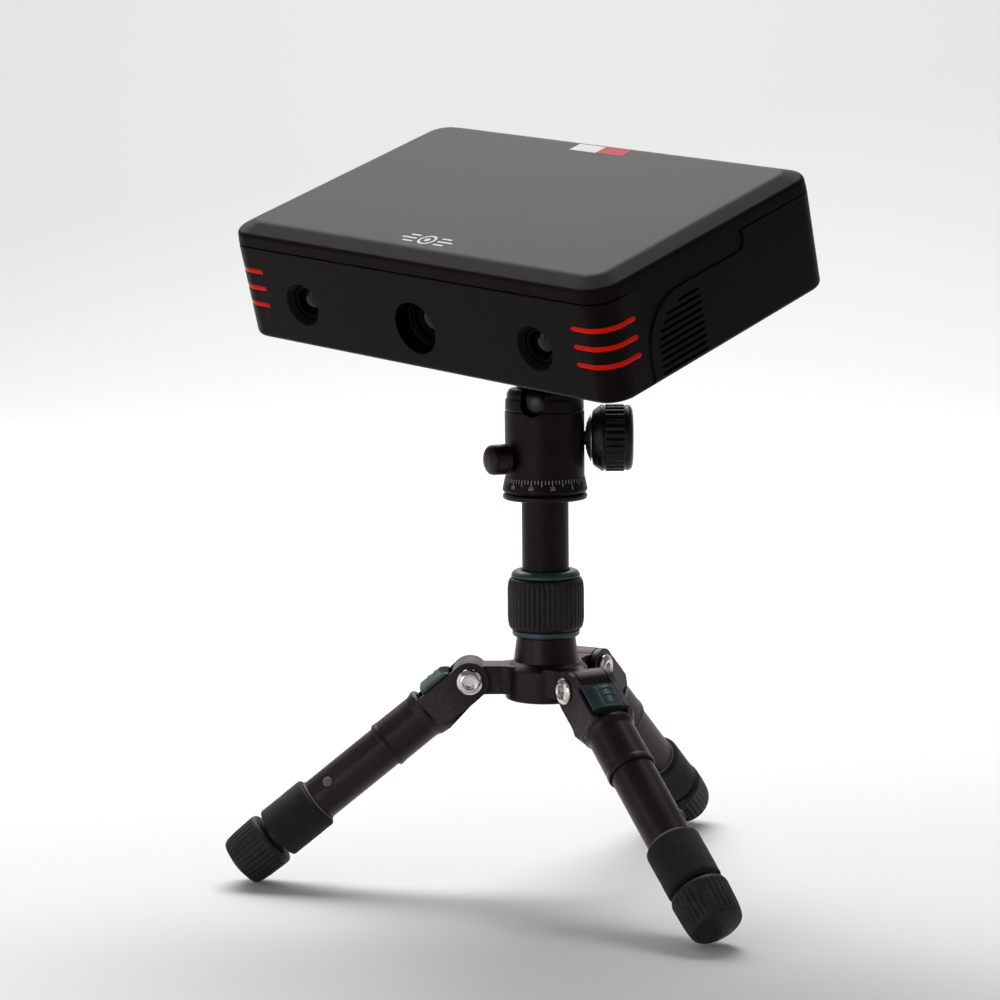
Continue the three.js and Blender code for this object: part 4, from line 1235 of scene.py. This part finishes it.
def base_shell():
    shell = case_loft([
        (1.8, 0), (1.1, 0.2), (0.5, 0.75), (0.15, 1.4), (0, 2.2), (0, SEAM_Z - 0.35), (0.35, SEAM_Z),
        (WALL, SEAM_Z), (WALL, CASE_FLOOR),
    ])
    bosses = [
        offset(moved(rod(13.2, -72, -66.9, MEDIUM), ALONG_Y), x, 0, CAMERA_Z)
        for x in (-CAMERA_X, CAMERA_X)
    ]
    bosses.append(offset(moved(rod(15.6, -72, -64, MEDIUM), ALONG_Y), 0, 0, PROJECTOR_Z))
    bosses.append(offset(rod(9, 1, 8, MEDIUM), 0, -MOUNT_OFFSET, 0))
    join(shell, *bosses)
    hole = [
        (0, -80), (CAMERA_SINK_R + 2.4, -80), (CAMERA_SINK_R, -CASE_Y), (CAMERA_HOLE_R, -70.6),
        (CAMERA_HOLE_R, -60), (0, -60),
    ]
    tools = [offset(moved(turned(hole, WIDE), ALONG_Y), x, 0, CAMERA_Z) for x in (-CAMERA_X, CAMERA_X)]
    tools.append(offset(moved(rod(PROJECTOR_HOLE_R, -80, -60, WIDE), ALONG_Y), 0, 0, PROJECTOR_Z))
    tools.append(offset(rod(3.45, -1, 5.4, NARROW), 0, -MOUNT_OFFSET, 0))
    tools.append(block((-34, 65, 12), (34, 80, 30)))
    for side in (-1, 1):
        tools.append(side_recess(side))
        tools.extend(vent_slots(side))
        for z in STRIPE_ZS:
            tools.append(stripe_band(side, z, STRIPE_H / 2 + 0.12, -1.6, 1, 0))
    for x in (-96, 0, 96):
        for y in (-54, 54):
            if x:
                tools.append(offset(rod(3.4, -1, 1.2, NARROW), x, y, 0))
    cut(shell, *tools)
    return softened(shell, 0.22, 2, 40)


def top_cover():
    low = SEAM_Z + GAP
    bevel = CASE_H - BEVEL_RISE
    outer = eased([(BEVEL_RUN + 3, CASE_H), (BEVEL_RUN, CASE_H), (0, bevel), (0, low + 0.4)], 1.6, False, 8)
    rest = [(0.35, low), (WALL, low), (WALL, bevel - 1.6), (BEVEL_RUN + WALL, CASE_H - 2.4)]
    return case_loft(outer + rest)


def cover_marks():
    """A plain ring and bars near the front edge, and a blank two-colour label at the back."""
    y = -56
    lift = CASE_H + INK
    ring = slab(arc(0, y, 4.6, 0, 354, 59), CASE_H - INK, lift)
    cut(ring, slab(arc(0, y, 3.5, 0, 354, 59), CASE_H - 1, CASE_H + 1))
    parts = [ring, slab(arc(0, y, 1.5, 0, 345, 23), CASE_H - INK, lift)]
    for side in (-1, 1):
        for row, length in ((-3.2, 6), (0, 9), (3.2, 6)):
            bar = block((6.6, y + row - 0.55, CASE_H - INK), (6.6 + length, y + row + 0.55, lift))
            parts.append(bar if side > 0 else mirrored(bar))
    place(gathered(*parts), "cover_mark", "scanner", "cover_charcoal", LOOKS["print_silver"], SCANNER)
    for name, low, high in (("label_white", -16, 0.5), ("label_red", 0.5, 17)):
        label = softened(block((low, 56.5, CASE_H - INK), (high, 64.3, lift + 0.03)), 0.03, 1)
        place(label, name, "scanner", "cover_charcoal", LOOKS[name], SCANNER)


def camera_unit(side, x):
    box = softened(block((-14, -66.3, -13), (14, -44, 13)), 0.8, 3)
    front = eased(
        [
            (6.4, -60), (CAMERA_HOLE_R - GAP, -60), (CAMERA_HOLE_R - GAP, -70), (7.1, -70.2),
            (6.6, -69.6), (6.4, -68.6),
        ],
        0.2, True,
    )
    barrel = moved(turned(front, WIDE, True), ALONG_Y)
    at = SCANNER @ shift(x, 0, CAMERA_Z)
    body = gathered(box, barrel)
    place(
        body, f"camera_{side}_unit", "scanner", "casing_black", LOOKS["casing_black"], at,
        f"camera_body_{side}",
    )
    dome = [(0, -69.2), *arc(0, -60, 9.2, -80, -48, 8), (6.1, -66.6), (0, -66.6)]
    lens = moved(turned(dome, MEDIUM), ALONG_Y)
    place(
        lens, f"camera_{side}_glass", "scanner", "lens_glass", LOOKS["lens_glass"], at,
        f"camera_lens_{side}",
    )


def projector_unit():
    box = softened(block((-26, -61, -13.6), (26, -14, 19)), 0.9, 3)
    outer = PROJECTOR_HOLE_R - 0.4
    front = eased(
        [(9.7, -58), (outer, -58), (outer, -66), (11.2, -66.2), (10.4, -65.4), (10.2, -64.4), (9.7, -64.2)],
        0.25, True,
    )
    barrel = moved(turned(front, WIDE, True), ALONG_Y)
    at = SCANNER @ shift(0, 0, PROJECTOR_Z)
    place(
        gathered(box, barrel), "projector_unit", "scanner", "casing_black", LOOKS["casing_black"], at,
        "projector_body",
    )
    dome = [(0, -65.6), *arc(0, -49.6, 16, -84, -54, 8), (9.4, -61.6), (0, -61.6)]
    lens = moved(turned(dome, MEDIUM), ALONG_Y)
    place(lens, "projector_glass", "scanner", "lens_glass", LOOKS["projector_glass"], at, "projector_lens")


def socket_panel():
    """Inset panel in the back wall with a round power inlet and a data socket."""
    plate = block((-34 + GAP, 67.6, 12 + GAP), (34 - GAP, 72, 30 - GAP))
    middle = 21
    inlet = offset(moved(rod(4.2, 70, 75, MEDIUM), ALONG_Y), -18, 0, middle)
    outline = eased(
        [(6, middle - 3.6), (19, middle - 3.6), (19, middle + 3.6), (6, middle + 3.6)], 1, True, 4,
    )
    data = offset(moved(slab([(x, -z) for x, z in outline], 69.5, 75), ALONG_Y), 0, 0, 0)
    softened(cut(plate, inlet, data), 0.3, 2)
    pin = offset(moved(rod(1.2, 69.5, 71.6, NARROW), ALONG_Y), -18, 0, middle)
    tongue = softened(block((8, 69, middle - 0.6), (17, 71.6, middle + 0.6)), 0.15, 2)
    place(plate, "rear_socket_panel", "scanner", "casing_black", LOOKS["casing_black"], SCANNER, "port_panel")
    place(gathered(pin, tongue), "rear_contacts", "scanner", "steel", LOOKS["steel"], SCANNER)


def underside_screws():
    heads = []
    for x in (-96, 96):
        for y in (-54, 54):
            head = turned(eased([(0, 0.25), (2.6, 0.3), (3.1, 0.8), (3.1, 1.1), (0, 1.1)], 0.2), NARROW)
            cut(head, block((-1.6, -0.3, -1), (1.6, 0.3, 0.8)), block((-0.3, -1.6, -1), (0.3, 1.6, 0.8)))
            heads.append(offset(head, x, y, 0))
    place(gathered(*heads), "underside_screws", "scanner", "steel", LOOKS["steel"], SCANNER)


def scanner():
    place(
        base_shell(), "casing_lower", "scanner", "casing_black", LOOKS["casing_black"], SCANNER,
        "base_shell",
    )
    place(
        top_cover(), "casing_cover", "scanner", "cover_charcoal", LOOKS["cover_charcoal"], SCANNER,
        "top_cover", sharp=30,
    )
    cover_marks()
    for side, sign in (("left", -1), ("right", 1)):
        # The stripes' faint glow is painted, from their material's emission.
        stripes = [stripe_band(sign, z, STRIPE_H / 2, -1.5, -0.05, 0.25) for z in STRIPE_ZS]
        name = f"red_stripes_painted_glow_{side}"
        place(
            gathered(*stripes), name, "scanner", "stripe_red", LOOKS["stripe_red"], SCANNER,
            f"stripe_inlay_{side}",
        )
        camera_unit(side, sign * CAMERA_X)
    projector_unit()
    socket_panel()
    underside_screws()


# ---------------------------------------------------------------- what stays as the CAD made it


def dress_cad_nodes():
    looks = {
        "column_collet": "nylon",
        "ball_brake": "nylon",
        "sensor_rail": "bare_aluminium",
        "heat_sink": "bare_aluminium",
        "mainboard": "circuit_board",
    }
    for node, look in looks.items():
        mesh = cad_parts[node].data
        mesh.materials.clear()
        mesh.materials.append(LOOKS[look])


# ---------------------------------------------------------------- stage, light and camera


def stage():
    """Pale floor that sweeps up into a backdrop behind the object."""
    depth = 2.2
    radius = 1.4
    profile = [(-3.2, 0.0)]
    profile += [(depth + y, radius + z) for y, z in arc(0, 0, radius, -90, 0, 24)]
    profile += [(depth + radius, 4.5)]
    bm = bmesh.new()
    rows = [[bm.verts.new((x, y, z)) for x in (-5, 5)] for y, z in profile]
    for lower, upper in zip(rows, rows[1:]):
        bm.faces.new((lower[0], lower[1], upper[1], upper[0]))
    floor = solid("floor", bm)
    floor.data.polygons.foreach_set("use_smooth", [True] * len(floor.data.polygons))
    look = Finish("floor_paper", (0.9, 0.9, 0.9), 0.85)
    tone = look.spread(look.noise(0.004, 3), 0, 1)
    look.colour(look.blend(tone, (0.89, 0.89, 0.89), (0.93, 0.93, 0.93)))
    look.bump(look.noise(0.3, 3), 0.02, 0.3)
    floor.data.materials.append(look.material)
    floor.visible_diffuse = False


def softbox(name, at, aim, size, power, colour=(1, 1, 1)):
    light = bpy.data.lights.new(name, "AREA")
    light.shape = "RECTANGLE"
    light.size, light.size_y = size
    light.energy = power
    light.color = colour
    obj = bpy.data.objects.new(name, light)
    bpy.context.scene.collection.objects.link(obj)
    obj.location = at
    obj.rotation_euler = (Vector(aim) - Vector(at)).to_track_quat("-Z", "Y").to_euler()


def lights():
    centre = (0.01, 0.0, 0.2)
    softbox("key_light", (-0.45, 1.35, 1.7), centre, (1.9, 1.3), 30)
    softbox("front_light", (-1.0, -1.5, 0.2), centre, (1.0, 1.0), 6)
    softbox("fill_light", (1.5, -0.9, 0.9), centre, (0.9, 1.4), 1.2)
    softbox("side_light", (-1.5, -0.5, 0.5), centre, (0.7, 1.2), 2.5)
    softbox("backdrop_light", (0, 1.6, 3.2), (0, 2.8, 0.4), (3.0, 1.4), 90)
    world = bpy.data.worlds.new("studio")
    bpy.context.scene.world = world
    world.use_nodes = True
    tree = world.node_tree
    background = tree.nodes["Background"]
    background.inputs["Color"].default_value = (1, 1, 1, 1)
    background.inputs["Strength"].default_value = 0.16


CAMERA_AT = (0, -1500.93, 366.73)  # in the tripod's frame, millimetres
CAMERA_PITCH = 7.1435  # degrees down
CAMERA_YAW = -0.806
CAMERA_ROLL = 0.515
CAMERA_LENS = 116.31


def camera():
    pitch = math.radians(CAMERA_PITCH)
    yaw = math.radians(CAMERA_YAW)
    roll = math.radians(CAMERA_ROLL)
    ahead = Vector((math.sin(yaw) * math.cos(pitch), math.cos(yaw) * math.cos(pitch), -math.sin(pitch)))
    level = ahead.cross(Vector((0, 0, 1))).normalized()
    down = ahead.cross(level)
    across = level * math.cos(roll) + down * math.sin(roll)
    below = down * math.cos(roll) - level * math.sin(roll)
    data = bpy.data.cameras.new("camera")
    data.sensor_width = 36
    data.lens = CAMERA_LENS
    data.clip_end = 20
    obj = bpy.data.objects.new("camera", data)
    bpy.context.scene.collection.objects.link(obj)
    rotation = Matrix((across, -below, -ahead)).transposed().to_4x4()
    obj.matrix_world = TRIPOD @ shift(*CAMERA_AT) @ rotation
    bpy.context.scene.camera = obj


# ---------------------------------------------------------------- assembly

camera()
tripod_column()
twist_collar()
for leg_name in LEG_AZIMUTHS:
    leg(leg_name)
ball_head()
clamp()
scanner()
dress_cad_nodes()
stage()
lights()
bpy.context.scene.view_settings.view_transform = "Standard"
